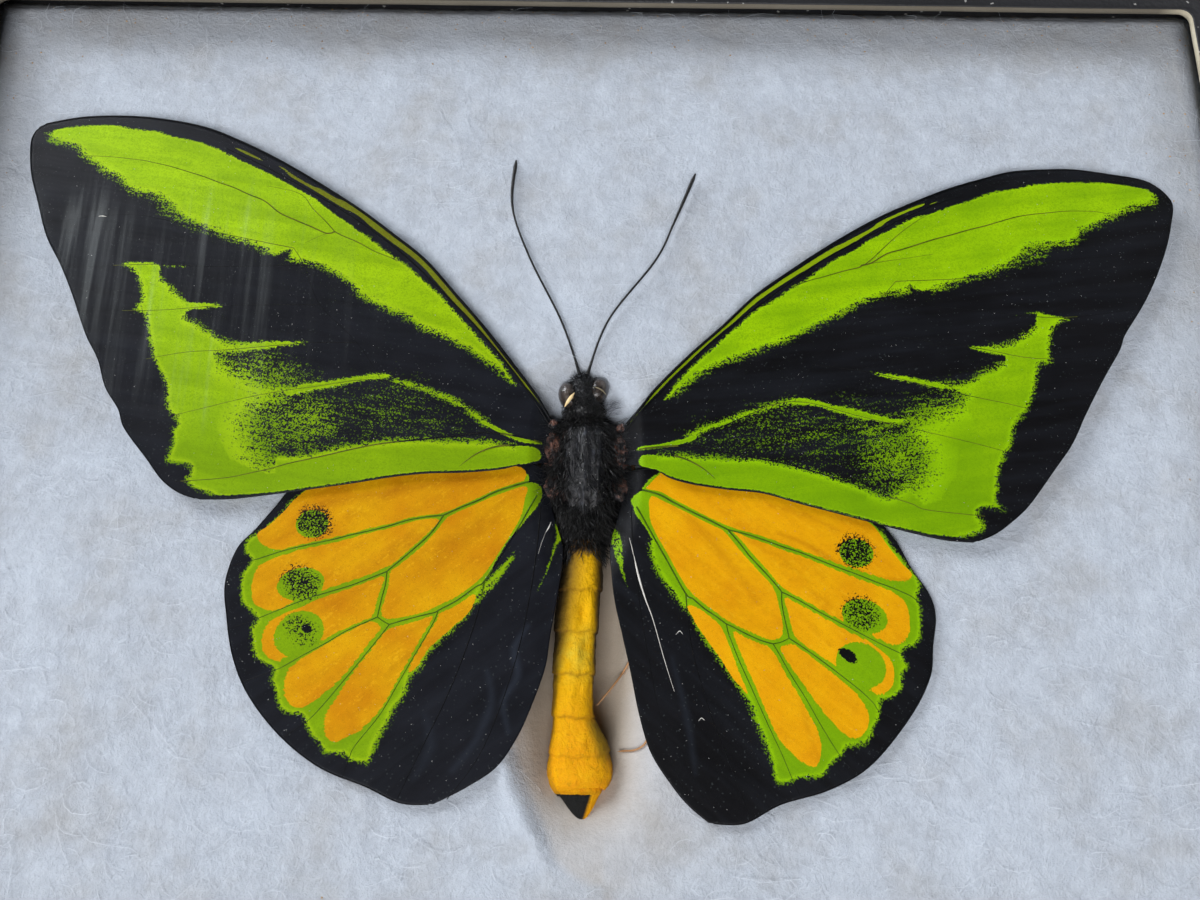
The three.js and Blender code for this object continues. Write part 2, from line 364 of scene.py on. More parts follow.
class Recipe:
    """A Geometry Nodes tree with named inputs, run once on one object."""

    def __init__(self, name):
        self.tree = bpy.data.node_groups.new(name, "GeometryNodeTree")
        self.tree.interface.new_socket("Geometry", in_out="INPUT", socket_type="NodeSocketGeometry")
        self.tree.interface.new_socket("Geometry", in_out="OUTPUT", socket_type="NodeSocketGeometry")
        self.given = self.tree.nodes.new("NodeGroupInput")
        self.values = {}

    def input(self, name, kind, value):
        item = self.tree.interface.new_socket(name, in_out="INPUT", socket_type="NodeSocket" + kind)
        self.values[item.identifier] = value
        return self.given.outputs[name]

    def node(self, kind, settings=None, values=None):
        made = self.tree.nodes.new(kind)
        for key, value in (settings or {}).items():
            setattr(made, key, value)
        for key, value in (values or {}).items():
            if isinstance(value, bpy.types.NodeSocket):
                self.tree.links.new(value, made.inputs[key])
            else:
                made.inputs[key].default_value = value
        return made

    def run(self, name, host, geometry, finish):
        real = self.node("GeometryNodeRealizeInstances", values={0: geometry})
        painted = self.node("GeometryNodeSetMaterial", values={0: real.outputs[0], 2: finish.material})
        end = self.tree.nodes.new("NodeGroupOutput")
        self.tree.links.new(painted.outputs[0], end.inputs[0])
        step = host.modifiers.new(name, "NODES")
        step.node_group = self.tree
        for identifier, value in self.values.items():
            step[identifier] = value
        bpy.context.view_layer.update()
        grown = host.evaluated_get(bpy.context.evaluated_depsgraph_get())
        mesh = bpy.data.meshes.new_from_object(grown)
        host.modifiers.remove(step)
        made = bpy.data.objects.new(name, mesh)
        bpy.context.scene.collection.objects.link(made)
        return made


def discard(made):
    """Removes a helper object once a recipe has used it."""
    bpy.data.objects.remove(made, do_unlink=True)


def sown(name, host, shape, finish, per_cm2, seed, sizes, lean=(0, 0, 0), stray=0.1, spread=None):
    """Copies of a small shape stand on a host's faces. spread is the host's mark that thins them out."""
    recipe = Recipe(name)
    density = recipe.input("Per square metre", "Float", per_cm2 * 1e4)
    turn_seed = recipe.input("Seed", "Int", seed)
    least = recipe.input("Least size", "Float", sizes[0])
    most = recipe.input("Most size", "Float", sizes[1])
    way = recipe.input("Lean", "Vector", lean)
    wander = recipe.input("Stray", "Float", stray)
    if spread:
        thin = recipe.node("GeometryNodeInputNamedAttribute", {"data_type": "FLOAT"}, {0: spread})
        share = recipe.node("ShaderNodeMath", {"operation": "MULTIPLY"}, {0: density, 1: thin.outputs[0]})
        density = share.outputs[0]
    points = recipe.node(
        "GeometryNodeDistributePointsOnFaces",
        {"distribute_method": "RANDOM"},
        {"Mesh": recipe.given.outputs["Geometry"], "Density": density, "Seed": turn_seed},
    )
    jitter = recipe.node(
        "FunctionNodeRandomValue", {"data_type": "FLOAT_VECTOR"}, {0: (-1, -1, -1), 1: (1, 1, 1), 8: turn_seed}
    )
    scaled = recipe.node("ShaderNodeVectorMath", {"operation": "SCALE"}, {0: jitter.outputs[0], "Scale": wander})
    tilted = recipe.node(
        "ShaderNodeVectorMath", {"operation": "ADD"}, {0: points.outputs["Normal"], 1: scaled.outputs[0]}
    )
    leaning = recipe.node("ShaderNodeVectorMath", {"operation": "ADD"}, {0: tilted.outputs[0], 1: way})
    up = recipe.node("FunctionNodeAlignRotationToVector", {"axis": "Z"}, {"Vector": leaning.outputs[0]})
    angle = recipe.node("FunctionNodeRandomValue", {"data_type": "FLOAT"}, {2: 0.0, 3: 2 * math.pi, 8: turn_seed})
    spin = recipe.node("ShaderNodeCombineXYZ", values={2: angle.outputs[1]})
    turn = recipe.node("FunctionNodeEulerToRotation", values={0: spin.outputs[0]})
    stand = recipe.node(
        "FunctionNodeRotateRotation", {"rotation_space": "LOCAL"}, {0: up.outputs[0], 1: turn.outputs[0]}
    )
    size = recipe.node("FunctionNodeRandomValue", {"data_type": "FLOAT"}, {2: least, 3: most, 8: turn_seed})
    source = recipe.node("GeometryNodeObjectInfo", {"transform_space": "ORIGINAL"}, {0: shape})
    copies = recipe.node(
        "GeometryNodeInstanceOnPoints",
        values={
            "Points": points.outputs["Points"],
            "Instance": source.outputs["Geometry"],
            "Rotation": stand.outputs[0],
            "Scale": size.outputs[1],
        },
    )
    made = recipe.run(name, host, copies.outputs[0], finish)
    settle(made)
    return made


def drawn(name, lines, finish, sides=6, replaces=()):
    """Round strands along lines of (points, radii)."""
    points, edges, radii = [], [], []
    for line, widths in lines:
        start = len(points)
        points += [tuple(p) for p in line]
        radii += list(evenly(widths, len(line)) * MM)
        edges += [(k, k + 1) for k in range(start, len(points) - 1)]
    host = loose(name + "_lines", points, edges, marks={"thickness": radii})
    recipe = Recipe(name)
    around = recipe.input("Sides", "Int", sides)
    thickness = recipe.node("GeometryNodeInputNamedAttribute", {"data_type": "FLOAT"}, {0: "thickness"})
    path = recipe.node("GeometryNodeMeshToCurve", values={0: recipe.given.outputs["Geometry"]})
    ring = recipe.node("GeometryNodeCurvePrimitiveCircle", {"mode": "RADIUS"}, {"Resolution": around, "Radius": 1.0})
    strand = recipe.node(
        "GeometryNodeCurveToMesh",
        values={
            "Curve": path.outputs[0],
            "Profile Curve": ring.outputs[0],
            "Scale": thickness.outputs[0],
            "Fill Caps": True,
        },
    )
    made = recipe.run(name, host, strand.outputs[0], finish)
    made.data.shade_smooth()
    discard(host)
    settle(made, replaces)
    return made


SKEW = (0.31, 0.67, 0.67)  # a direction that no strand runs along


def strand_shape(name, line, widths, sides=3):
    """One thin closed strand for sowing: points in millimetres, half widths from first to last."""
    line = np.asarray(line, dtype=float)
    points = []
    for k, centre in enumerate(line):
        way = line[min(k + 1, len(line) - 1)] - line[max(k - 1, 0)]
        way /= np.linalg.norm(way)
        across = np.cross(way, SKEW)
        across /= np.linalg.norm(across)
        lift = np.cross(way, across)
        for side in range(sides):
            angle = 2 * math.pi * side / sides
            points.append(centre + widths[k] * (math.cos(angle) * across + math.sin(angle) * lift))
    return loose(name, points, faces=bands(len(line), sides) + end_caps(len(line), sides))


# ---------------------------------------------------------------- Case: lid, tray, glass and pins

SIDE_STEPS = (48, 64)
CORNER_STEPS = 5


def rim(width, depth, corner, height):
    """One loop of a rounded rectangle, anticlockwise from the foot of its right side."""
    x, y = width / 2 - corner, depth / 2 - corner
    far_x, far_y = x + corner, y + corner
    sides = [
        ((far_x, -y), (far_x, y), (x, y)),
        ((x, far_y), (-x, far_y), (-x, y)),
        ((-far_x, y), (-far_x, -y), (-x, -y)),
        ((-x, -far_y), (x, -far_y), (x, -y)),
    ]
    loop = []
    for turn, ((start, end, centre), steps) in enumerate(zip(sides, SIDE_STEPS * 2)):
        loop.append(np.linspace(start, end, steps, endpoint=False))
        angles = math.pi / 2 * (turn + np.linspace(0, 1, CORNER_STEPS, endpoint=False))
        loop.append(np.array(centre) + corner * np.stack([np.cos(angles), np.sin(angles)], axis=1))
    flat = np.vstack(loop)
    return np.column_stack([flat, np.full(len(flat), float(height))])


def board(name, section, finishes, closed=True, waver=0.0, seed=1.0, **kept):
    """A piece swept round the case from rows of (width, depth, corner, height, finish index).

    It closes on itself as a ring, or else with a flat face over its first and last row.
    """
    loops = [rim(*row[:4]) for row in section]
    count = len(loops[0])
    points = np.vstack(loops)
    points = points + waver * np.column_stack([lumps(points, 17, seed + k) for k in range(3)])
    rows = len(loops)
    faces = bands(rows, count)
    index = [section[r][4] for r in range(rows - 1) for _ in range(count)]
    if closed:
        last = (rows - 1) * count
        for c in range(count):
            d = (c + 1) % count
            faces.append((last + c, last + d, d, c))
        index += [section[-1][4]] * count
    else:
        faces += end_caps(rows, count)
        index += [section[0][4], section[-1][4]]
    return piece(name, points, faces, finishes, index=index, **kept)


def paper_finish():
    """Black embossed paper over board, with dust and rubbed edges."""
    paper = Finish("case_paper")
    x, y, z = paper.axes()
    grain = paper.cells(0.55, feature="SMOOTH_F1")
    fine = paper.noise(0.18, 2)
    cloudy = paper.noise(14, 4)
    lint = paper.speckle(0.35) > 0.9965
    scuffs = (paper.noise(2.2, 5, 0.7, paper.stretched(1, 1, 0.4)) - 0.66).ramp(0, 0.1)
    rubbed = ((z - (LID_TOP - 0.25)).size() < 0.12) * (x.size() > 102.6).most(y.size() > 77.6)
    colour = paper.mix(cloudy.ramp(0.3, 0.7), "141417", "1d1d20")
    colour = paper.mix((rubbed * 0.35).most(scuffs * 0.35), colour, "4a4846")
    colour = paper.mix(lint * 0.7, colour, "a9a8a4")
    paper.wear(
        base_color=colour,
        roughness=(fine * 0.16 + cloudy * 0.14 + 0.36) + scuffs * 0.15,
        normal=paper.bump(grain * 0.7 + fine * 0.3, 0.09),
        specular_ior_level=0.5,
    )
    return paper


def cut_board_finish():
    """The bare cut edge of the grey and cream board round the window, with painted shade along its top side."""
    cut = Finish("cut_board")
    x, y, z = cut.axes()
    plies = (z * 9.0).wave()
    fluff = cut.noise(0.3, 4, 0.7, cut.stretched(1, 1, 3))
    stain = cut.noise(9, 3)
    # Painted shade: the window's top cut edge is darkened in its colour where it faces away from the light
    top_edge_shade = y.ramp(62, 68) * (1 - x.ramp(90, 94)) * 0.85
    colour = cut.mix(stain.ramp(0.35, 0.7), "d8cfb6", "bdb197")
    colour = cut.mix(top_edge_shade, colour, "574f44")
    colour = cut.mix(fluff.ramp(0.52, 0.75) * 0.5, colour, "8d8371")
    cut.wear(base_color=colour, roughness=0.92, normal=cut.bump(fluff + plies * 0.12, 0.12))
    return cut


paper = paper_finish()
cut_board = cut_board_finish()

lid_width, lid_depth = (size + 2 * LID_BORDER for size in WINDOW)
under = LID_TOP - TOP_BOARD
inner_width, inner_depth = lid_width - 2 * WALL_BOARD, lid_depth - 2 * WALL_BOARD


def lid_section():
    """Foot, outer wall, top, window edge, underside and inner wall of the lid, from (inset, height)."""
    rows = []
    outside = [(0.28, LID_FOOT), (0.05, 3.12), (0, 3.5), (0, 8), (0, 13), (0, 18.6), (0.1, 18.95), (0.32, 19.13)]
    for inset, height in outside:
        rows.append((lid_width - 2 * inset, lid_depth - 2 * inset, LID_CORNER - inset, height, 0))
    for inset in (0.7, 3, 5.2, 7.2):
        rows.append((lid_width - 2 * inset, lid_depth - 2 * inset, LID_CORNER - inset * 0.05, LID_TOP, 0))
    for outset, height in [(0.3, LID_TOP), (0.1, 19.15), (0.0, 19.02)]:
        rows.append((WINDOW[0] + 2 * outset, WINDOW[1] + 2 * outset, WINDOW_CORNER, height, 0))
    rows[-1] = rows[-1][:4] + (1,)
    for height in (under + 0.5, under + 0.12):
        rows.append((*WINDOW, WINDOW_CORNER, height, 1))
    rows.append((WINDOW[0] + 0.3, WINDOW[1] + 0.3, 1.9, under, 0))
    for height in (under, 10, 3.3):
        rows.append((inner_width, inner_depth, TRAY_CORNER, height, 0))
    rows.append((inner_width + 0.3, inner_depth + 0.3, 1.3, LID_FOOT, 0))
    return rows


board("lid_board", lid_section(), [paper, cut_board], waver=0.05, replaces=["lid"], slot="case_board")

tray_width, tray_depth = inner_width - 2 * FIT, inner_depth - 2 * FIT
tray_inner = (tray_width - 2 * WALL_BOARD, tray_depth - 2 * WALL_BOARD)


def tray_section():
    """Underside, outer wall, rim, inner wall and floor of the tray, from (inset, height)."""
    rows = []
    outside = [(0.9, 0), (0.35, 0.06), (0.08, 0.3), (0, 0.8), (0, 6), (0, 11), (0, 14.9), (0.2, TRAY_HEIGHT)]
    for inset, height in outside:
        rows.append((tray_width - 2 * inset, tray_depth - 2 * inset, TRAY_CORNER, height, 0))
    for outset, height in [(0.2, TRAY_HEIGHT), (0, 14.9), (0, 8), (0, 1.9), (-0.4, TRAY_FLOOR)]:
        rows.append((tray_inner[0] + 2 * outset, tray_inner[1] + 2 * outset, 0.6, height, 0))
    return rows


board(
    "tray_board", tray_section(), [paper], closed=False, waver=0.04, seed=5.0, replaces=["tray"],
    slot="case_board",
)


def glass_finish():
    """Thin clear glass: it lets lamps and views straight through and shines by its angle."""
    pane = Finish("window_glass")
    slant = pane.node("LayerWeight", values={"Blend": 0.5}, out="Facing")
    x, y = pane.axes()[:2]
    smear = pane.noise(2.0, 2, 0.7, pane.stretched(1, 0.04, 1))
    greasy = smear.ramp(0.42, 0.72) * (x * -1).ramp(8, 50, 0.02, 1.0) * (y + 6).ramp(0, 8) * (46 - y).ramp(0, 14)
    pane.wear(
        base_color=tint("f4faf8"),
        metallic=1.0,
        roughness=greasy * 0.35 + 0.015,
        alpha=slant**5 * 0.96 + 0.03 + greasy * 0.035,
        specular_ior_level=0.5,
    )
    return pane


glass_bottom = TRAY_HEIGHT + FIT
glass_rows = []
GLASS_EDGE = [
    (2.5, 0), (0.25, 0), (0.05, 0.07), (0, 0.25), (0, 1.75), (0.05, 1.93), (0.25, 2), (2.5, GLASS_THICKNESS),
]
for inset, height in GLASS_EDGE:
    glass_rows.append((tray_width - 2 * inset, tray_depth - 2 * inset, TRAY_CORNER, glass_bottom + height, 0))
pane = board("glass_pane", glass_rows, [glass_finish()], closed=False, replaces=["glass"], slot="glass")
# Lamps and soft light reach the wings as if through no glass, which keeps the render short
pane.visible_shadow = pane.visible_diffuse = False


def turned(profile, place, way, sides=20):
    """A turned pin or stud: profile rows of (distance along, radius)."""
    way = Vector(way).normalized()
    frame_turn = way.to_track_quat("Z", "Y").to_matrix()
    points = []
    for distance, radius in profile:
        for s in range(sides):
            angle = 2 * math.pi * s / sides
            out = Vector((radius * math.cos(angle), radius * math.sin(angle), distance))
            points.append(Vector(place) + frame_turn @ out)
    return [tuple(p) for p in points], bands(len(profile), sides) + end_caps(len(profile), sides)


def steel_finish():
    """Plated steel, drawn along the pin, with a little rust."""
    steel = Finish("pin_steel")
    streaks = steel.noise(0.25, 3, 0.6, steel.stretched(1, 1, 4))
    rust = steel.noise(0.9, 3).ramp(0.62, 0.75)
    steel.wear(
        base_color=steel.mix(rust * 0.5, "b9bbbf", "7c6752"),
        metallic=1 - rust * 0.5,
        roughness=streaks * 0.2 + 0.2 + rust * 0.3,
        normal=steel.bump(streaks, 0.02),
    )
    return steel


steel = steel_finish()
PIN_PROFILE = [
    (-11.7, 0.03), (-11.4, 0.12), (-10.6, 0.28), (-9, 0.34), (-4, 0.34), (0.1, 0.34), (0.12, 0.8), (0.24, 0.9),
    (0.5, 0.88), (0.72, 0.7), (0.88, 0.38), (0.94, 0.1),
]
PIN_SIDES = {"pin_right": (1, 0), "pin_top": (0, 1), "pin_left": (-1, 0), "pin_bottom": (0, -1)}
for pin, (side_x, side_y) in PIN_SIDES.items():
    head_place = (side_x * lid_width / 2, side_y * lid_depth / 2, PIN_HEIGHT)
    pin_points, pin_faces = turned(PIN_PROFILE, head_place, (side_x, side_y, 0))
    piece(pin + "_steel", pin_points, pin_faces, [steel], replaces=[pin], slot="pin_steel")


# ---------------------------------------------------------------- Wings: outlines as in the part's source

WING_OUTLINES = {}
WING_OUTLINES["forewing_left"] = {
    "leading": [
        (-4.9, 1.2), (-7.5, 5.2), (-10, 8.6), (-15, 15.1), (-20, 21), (-25, 26.7), (-30, 30.8), (-35, 34.7),
        (-40, 38.1), (-45, 41.3), (-50, 44.2), (-55, 46.7), (-60, 48.8), (-65, 50), (-70, 50.7), (-75, 50.9),
        (-80, 50.6), (-85, 49.5), (-86.6, 48.8),
    ],
    "margin": [
        (-86.6, 48.8), (-87.4, 46.6), (-87.1, 43.5), (-86.3, 40), (-84.8, 36), (-82.5, 30), (-79.5, 25),
        (-76.9, 20), (-74, 13.8), (-71.7, 10), (-70, 5.7), (-67.6, 2.3), (-66.3, -0.6), (-62.5, -5.1), (-60, -8.1),
        (-57.3, -10), (-54.2, -11),
    ],
    "trailing": [
        (-5.2, -4.4), (-7.4, -5), (-10, -5.5), (-12.5, -6.1), (-17.5, -6.6), (-22.5, -6.8), (-27.5, -7.4),
        (-32.5, -8.3), (-37.5, -9.1), (-42.5, -9.9), (-46, -10.4), (-50, -10.9), (-54.2, -11),
    ],
    "root": [(-4.9, 1.2), (-5, -1.5), (-5.2, -4.4)],
}
WING_OUTLINES["forewing_right"] = {
    "leading": [
        (5, 0.6), (7.5, 3.1), (10, 6.4), (15, 11.7), (20, 16.4), (25, 21.4), (30, 25.2), (35, 28.8), (40, 32.1),
        (45, 35), (50, 37.4), (55, 39.6), (60, 41.3), (65, 42.8), (70, 43.3), (75, 43.4), (80, 42.7), (85, 41.8),
        (87.4, 40.7),
    ],
    "margin": [
        (87.4, 40.7), (89.4, 37.8), (88.7, 34), (87.4, 30), (85, 24.8), (82.5, 20.5), (79.2, 15.7), (78.2, 13.4),
        (75.2, 8.7), (72, 3.3), (69.5, -1.2), (66.6, -5), (62.5, -10.2), (59.5, -12.9), (57, -14.6), (54, -15.8),
    ],
    "trailing": [
        (5.4, -4.6), (7.8, -5.3), (10, -5.9), (11.8, -7), (15, -7.9), (20, -8.6), (25, -9.1), (30, -10.5),
        (35, -11.8), (40, -13.1), (45, -14.4), (50, -15.5), (54, -15.8),
    ],
    "root": [(5, 0.6), (5.2, -2), (5.4, -4.6)],
}
WING_OUTLINES["hindwing_left"] = {
    "leading": [(-5.3, -5.6), (-12, -4), (-20, -3.4), (-28, -3.6), (-36, -5.6), (-41.3, -8.6), (-43.5, -11.4)],
    "margin": [
        (-43.5, -11.4), (-46.2, -15), (-48.5, -17.8), (-49.6, -22.5), (-48.9, -27), (-47.4, -32.7), (-44.7, -37.8),
        (-40, -42.9), (-34.4, -46.8), (-28.3, -49.1), (-23.5, -51.1), (-19.2, -51.2),
    ],
    "trailing": [
        (-4.4, -12.8), (-3.2, -16.5), (-3.2, -20), (-3.8, -24.5), (-4.5, -29), (-5.1, -33.5), (-6.7, -38.3),
        (-8.5, -42.5), (-11.2, -46.5), (-15.2, -49.2), (-19.2, -51.2),
    ],
    "root": [(-5.3, -5.6), (-5.2, -9), (-4.4, -12.8)],
}
WING_OUTLINES["hindwing_right"] = {
    "leading": [(5.5, -5.8), (12, -5.2), (20, -5), (28, -6), (35, -8.5), (40.5, -12), (43.7, -15.8)],
    "margin": [
        (43.7, -15.8), (45.4, -19.4), (47.6, -23), (48.2, -26), (47.5, -30.1), (46.8, -34.2), (43.8, -39.4),
        (38.2, -45.6), (32.5, -48.8), (26.1, -50.7), (21.2, -53.1), (16.6, -53.1),
    ],
    "trailing": [
        (4.4, -13), (3.5, -16.5), (3.7, -20.5), (4.2, -24.5), (5.2, -28.8), (6.4, -34), (7.6, -39.7), (9.2, -44.6),
        (12.2, -49), (14.2, -51.2), (16.6, -53.1),
    ],
    "root": [(5.5, -5.8), (5.2, -9), (4.4, -13)],
}

# Markings. A green patch is (amount, stretches of its edge). A stretch is (how far its scales thin out, points).
# A ribbon, or a fold of painted shade and sheen, is (amount, how far its scales thin out, half widths from end to
# end, middle line).
# A gold cell is the points of its edge, a spot (centre, half sizes, tilt), a pupil (centre, half sizes, amount).

GREEN_PATCHES = {}
GREEN_PATCHES["forewing_left"] = [
    (1.0, [
        (0.35, [
            (-84.5, 47.8), (-83, 48.6), (-80, 49.1), (-77.5, 49.2), (-75, 49.1), (-72.5, 48.8), (-70, 48.5),
            (-67.5, 47.9), (-65, 47.3), (-62.5, 46.6), (-60, 45.8), (-57.5, 44.8), (-55, 43.6), (-52.5, 42.2),
            (-50, 41), (-47.5, 39.6), (-45, 38.2), (-42.5, 36.8), (-40, 34.8), (-37.5, 33),
        ]),
        (0.7, [
            (-35, 31.2), (-32.5, 29.4), (-30, 27.4), (-27.5, 25.6), (-25, 23.3), (-22.5, 21), (-20, 18.3),
            (-17.5, 15.5), (-15, 12.7), (-12.5, 9.9), (-11.5, 8.3), (-10.3, 6.4),
        ]),
        (1.6, [
            (-12, 7.8), (-13, 9), (-14.5, 10), (-16, 11), (-17.5, 12.2), (-18.8, 12.7), (-20.5, 13.7),
            (-22.5, 14.7), (-24.5, 15.5), (-26, 16.5), (-27.5, 17.6), (-29, 18), (-31, 19), (-33, 20), (-34.5, 21),
            (-35.5, 22.3), (-37, 23.6), (-38.5, 24.4), (-40, 25.2), (-42, 25.9), (-43.5, 26.2),
        ]),
        (0.6, [(-45.3, 26.5), (-45, 28.1), (-47.2, 27.2)]),
        (1.8, [
            (-48.5, 27.4), (-50, 28.4), (-52.5, 29.2), (-55, 30.2), (-57.5, 31), (-60, 32.2), (-63, 34), (-65, 36),
            (-67.5, 37.2), (-70, 37.6), (-71, 38), (-72, 39), (-73, 40), (-75, 40.9), (-76.2, 42), (-77.5, 42.8),
            (-79, 43.7), (-79.5, 44.3), (-80, 45.1), (-82, 45.7), (-83.8, 46.3), (-84.8, 47.2),
        ]),
    ]),
    (0.5, [(1.8, [
        (-70, 37.4), (-68, 36.2), (-66.5, 35.2), (-65.5, 33.8), (-64, 33), (-62.5, 32.2), (-60, 31.4),
        (-57.5, 30.8), (-55, 31.5), (-60, 35), (-66, 38),
    ])]),
    (1.0, [
        (0.5, [(-70.5, 25.4), (-68, 25.6), (-65, 25.3), (-64.5, 24.5)]),
        (1.3, [(-64.3, 23), (-63, 22), (-61.8, 20.8), (-60.5, 19.6)]),
        (0.5, [(-60, 19.2), (-58, 19.1), (-56, 19), (-54, 18.7), (-57, 18.2), (-59.3, 17.9)]),
        (1.5, [(-59.8, 17.3), (-59.5, 16.4), (-58, 15.8), (-57, 15), (-55.5, 14.2), (-54, 13.2), (-52.5, 12.8)]),
        (0.5, [(-50, 12.8), (-47, 13), (-44, 13.1), (-41.3, 13), (-44, 12.4), (-46.5, 12), (-49, 11.7)]),
        (1.6, [(-51, 11.4), (-53, 11.1), (-54.5, 10.7)]),
        (5.0, [(-54, 10.3), (-51.5, 9), (-49.5, 8.2), (-48, 7.4), (-46, 6.7), (-44, 6.3)]),
        (0.5, [
            (-42, 6.4), (-40, 6.6), (-37.5, 7), (-35, 7.4), (-32.5, 7.9), (-30, 8.2), (-28.4, 7.9), (-30, 7.4),
            (-32.5, 7.1), (-35, 6.5), (-37.5, 5.9), (-40, 5.4),
        ]),
        (9.0, [(-43.5, 4.4), (-46, 2.4), (-47, 0.6), (-46.8, -1.2), (-45.6, -2.8)]),
        (1.4, [
            (-44, -4.3), (-40, -4.1), (-37.5, -3.6), (-35, -2.9), (-32.5, -2.5), (-30, -2.2), (-27.5, -1.9),
            (-22.5, -1.7), (-20, -1.9), (-15, -1.9), (-12.5, -2.1), (-10.5, -2.3),
        ]),
        (0.35, [
            (-10, -2.5), (-8, -2.6), (-6.9, -2.9), (-6.5, -3.6), (-6.8, -4.4), (-7.6, -4.8), (-8.7, -5.2),
            (-10, -5.3), (-12.5, -5.8), (-17.5, -6.3), (-22.5, -6.5), (-27.5, -7.1), (-32.5, -8), (-36, -8.6),
            (-40, -9.2), (-42.5, -9.6), (-45, -9.9), (-47.5, -10.1), (-50, -10.3),
        ]),
        (1.0, [
            (-52, -10.3), (-53.5, -9.9), (-55, -9.5), (-56, -8.8), (-56.6, -7.9), (-56, -7), (-56.3, -6),
            (-57.5, -5.7), (-59, -5.6), (-59.7, -5.3), (-59.3, -4), (-59, -2.5), (-59.3, -1), (-58.8, 0), (-59, 1),
            (-60.2, 2), (-60.8, 3.5), (-61, 5), (-61.2, 6), (-61.8, 7.3), (-62.5, 8.5), (-63.5, 10), (-63.9, 11.5),
            (-64.4, 13), (-64.8, 14.5), (-65.2, 16), (-65.8, 17.3), (-67.3, 17.9), (-66.5, 19.5), (-66.8, 21),
            (-67.3, 22.5), (-68, 23.8), (-69.2, 24.8),
        ]),
    ]),
    (0.55, [(6.0, [(-48, 2), (-42, 4.6), (-37, 4), (-36, -1.5), (-43, -4), (-48, -3)])]),
    (0.3, [(6.0, [
        (-26, 7), (-40, 5.6), (-46, 3), (-47, -3.5), (-44, -4.5), (-35, -2.9), (-27, -1.9), (-18, -1.9), (-19, 2),
        (-23, 4),
    ])]),
    (0.5, [(5.0, [(-55, 11.2), (-49, 11.8), (-45, 10.3), (-41, 8), (-40, 6.5), (-46, 6), (-52, 8)])]),
    (0.75, [(0.8, [
        (-28, 7.6), (-25, 6.7), (-22.5, 5.9), (-20, 5.1), (-18, 3.9), (-16, 2.5), (-14, 1), (-14.4, 0.2),
        (-16, 1.2), (-18, 2.8), (-20, 3.9), (-22.5, 4.9), (-25, 5.8), (-28, 6.8),
    ])]),
]
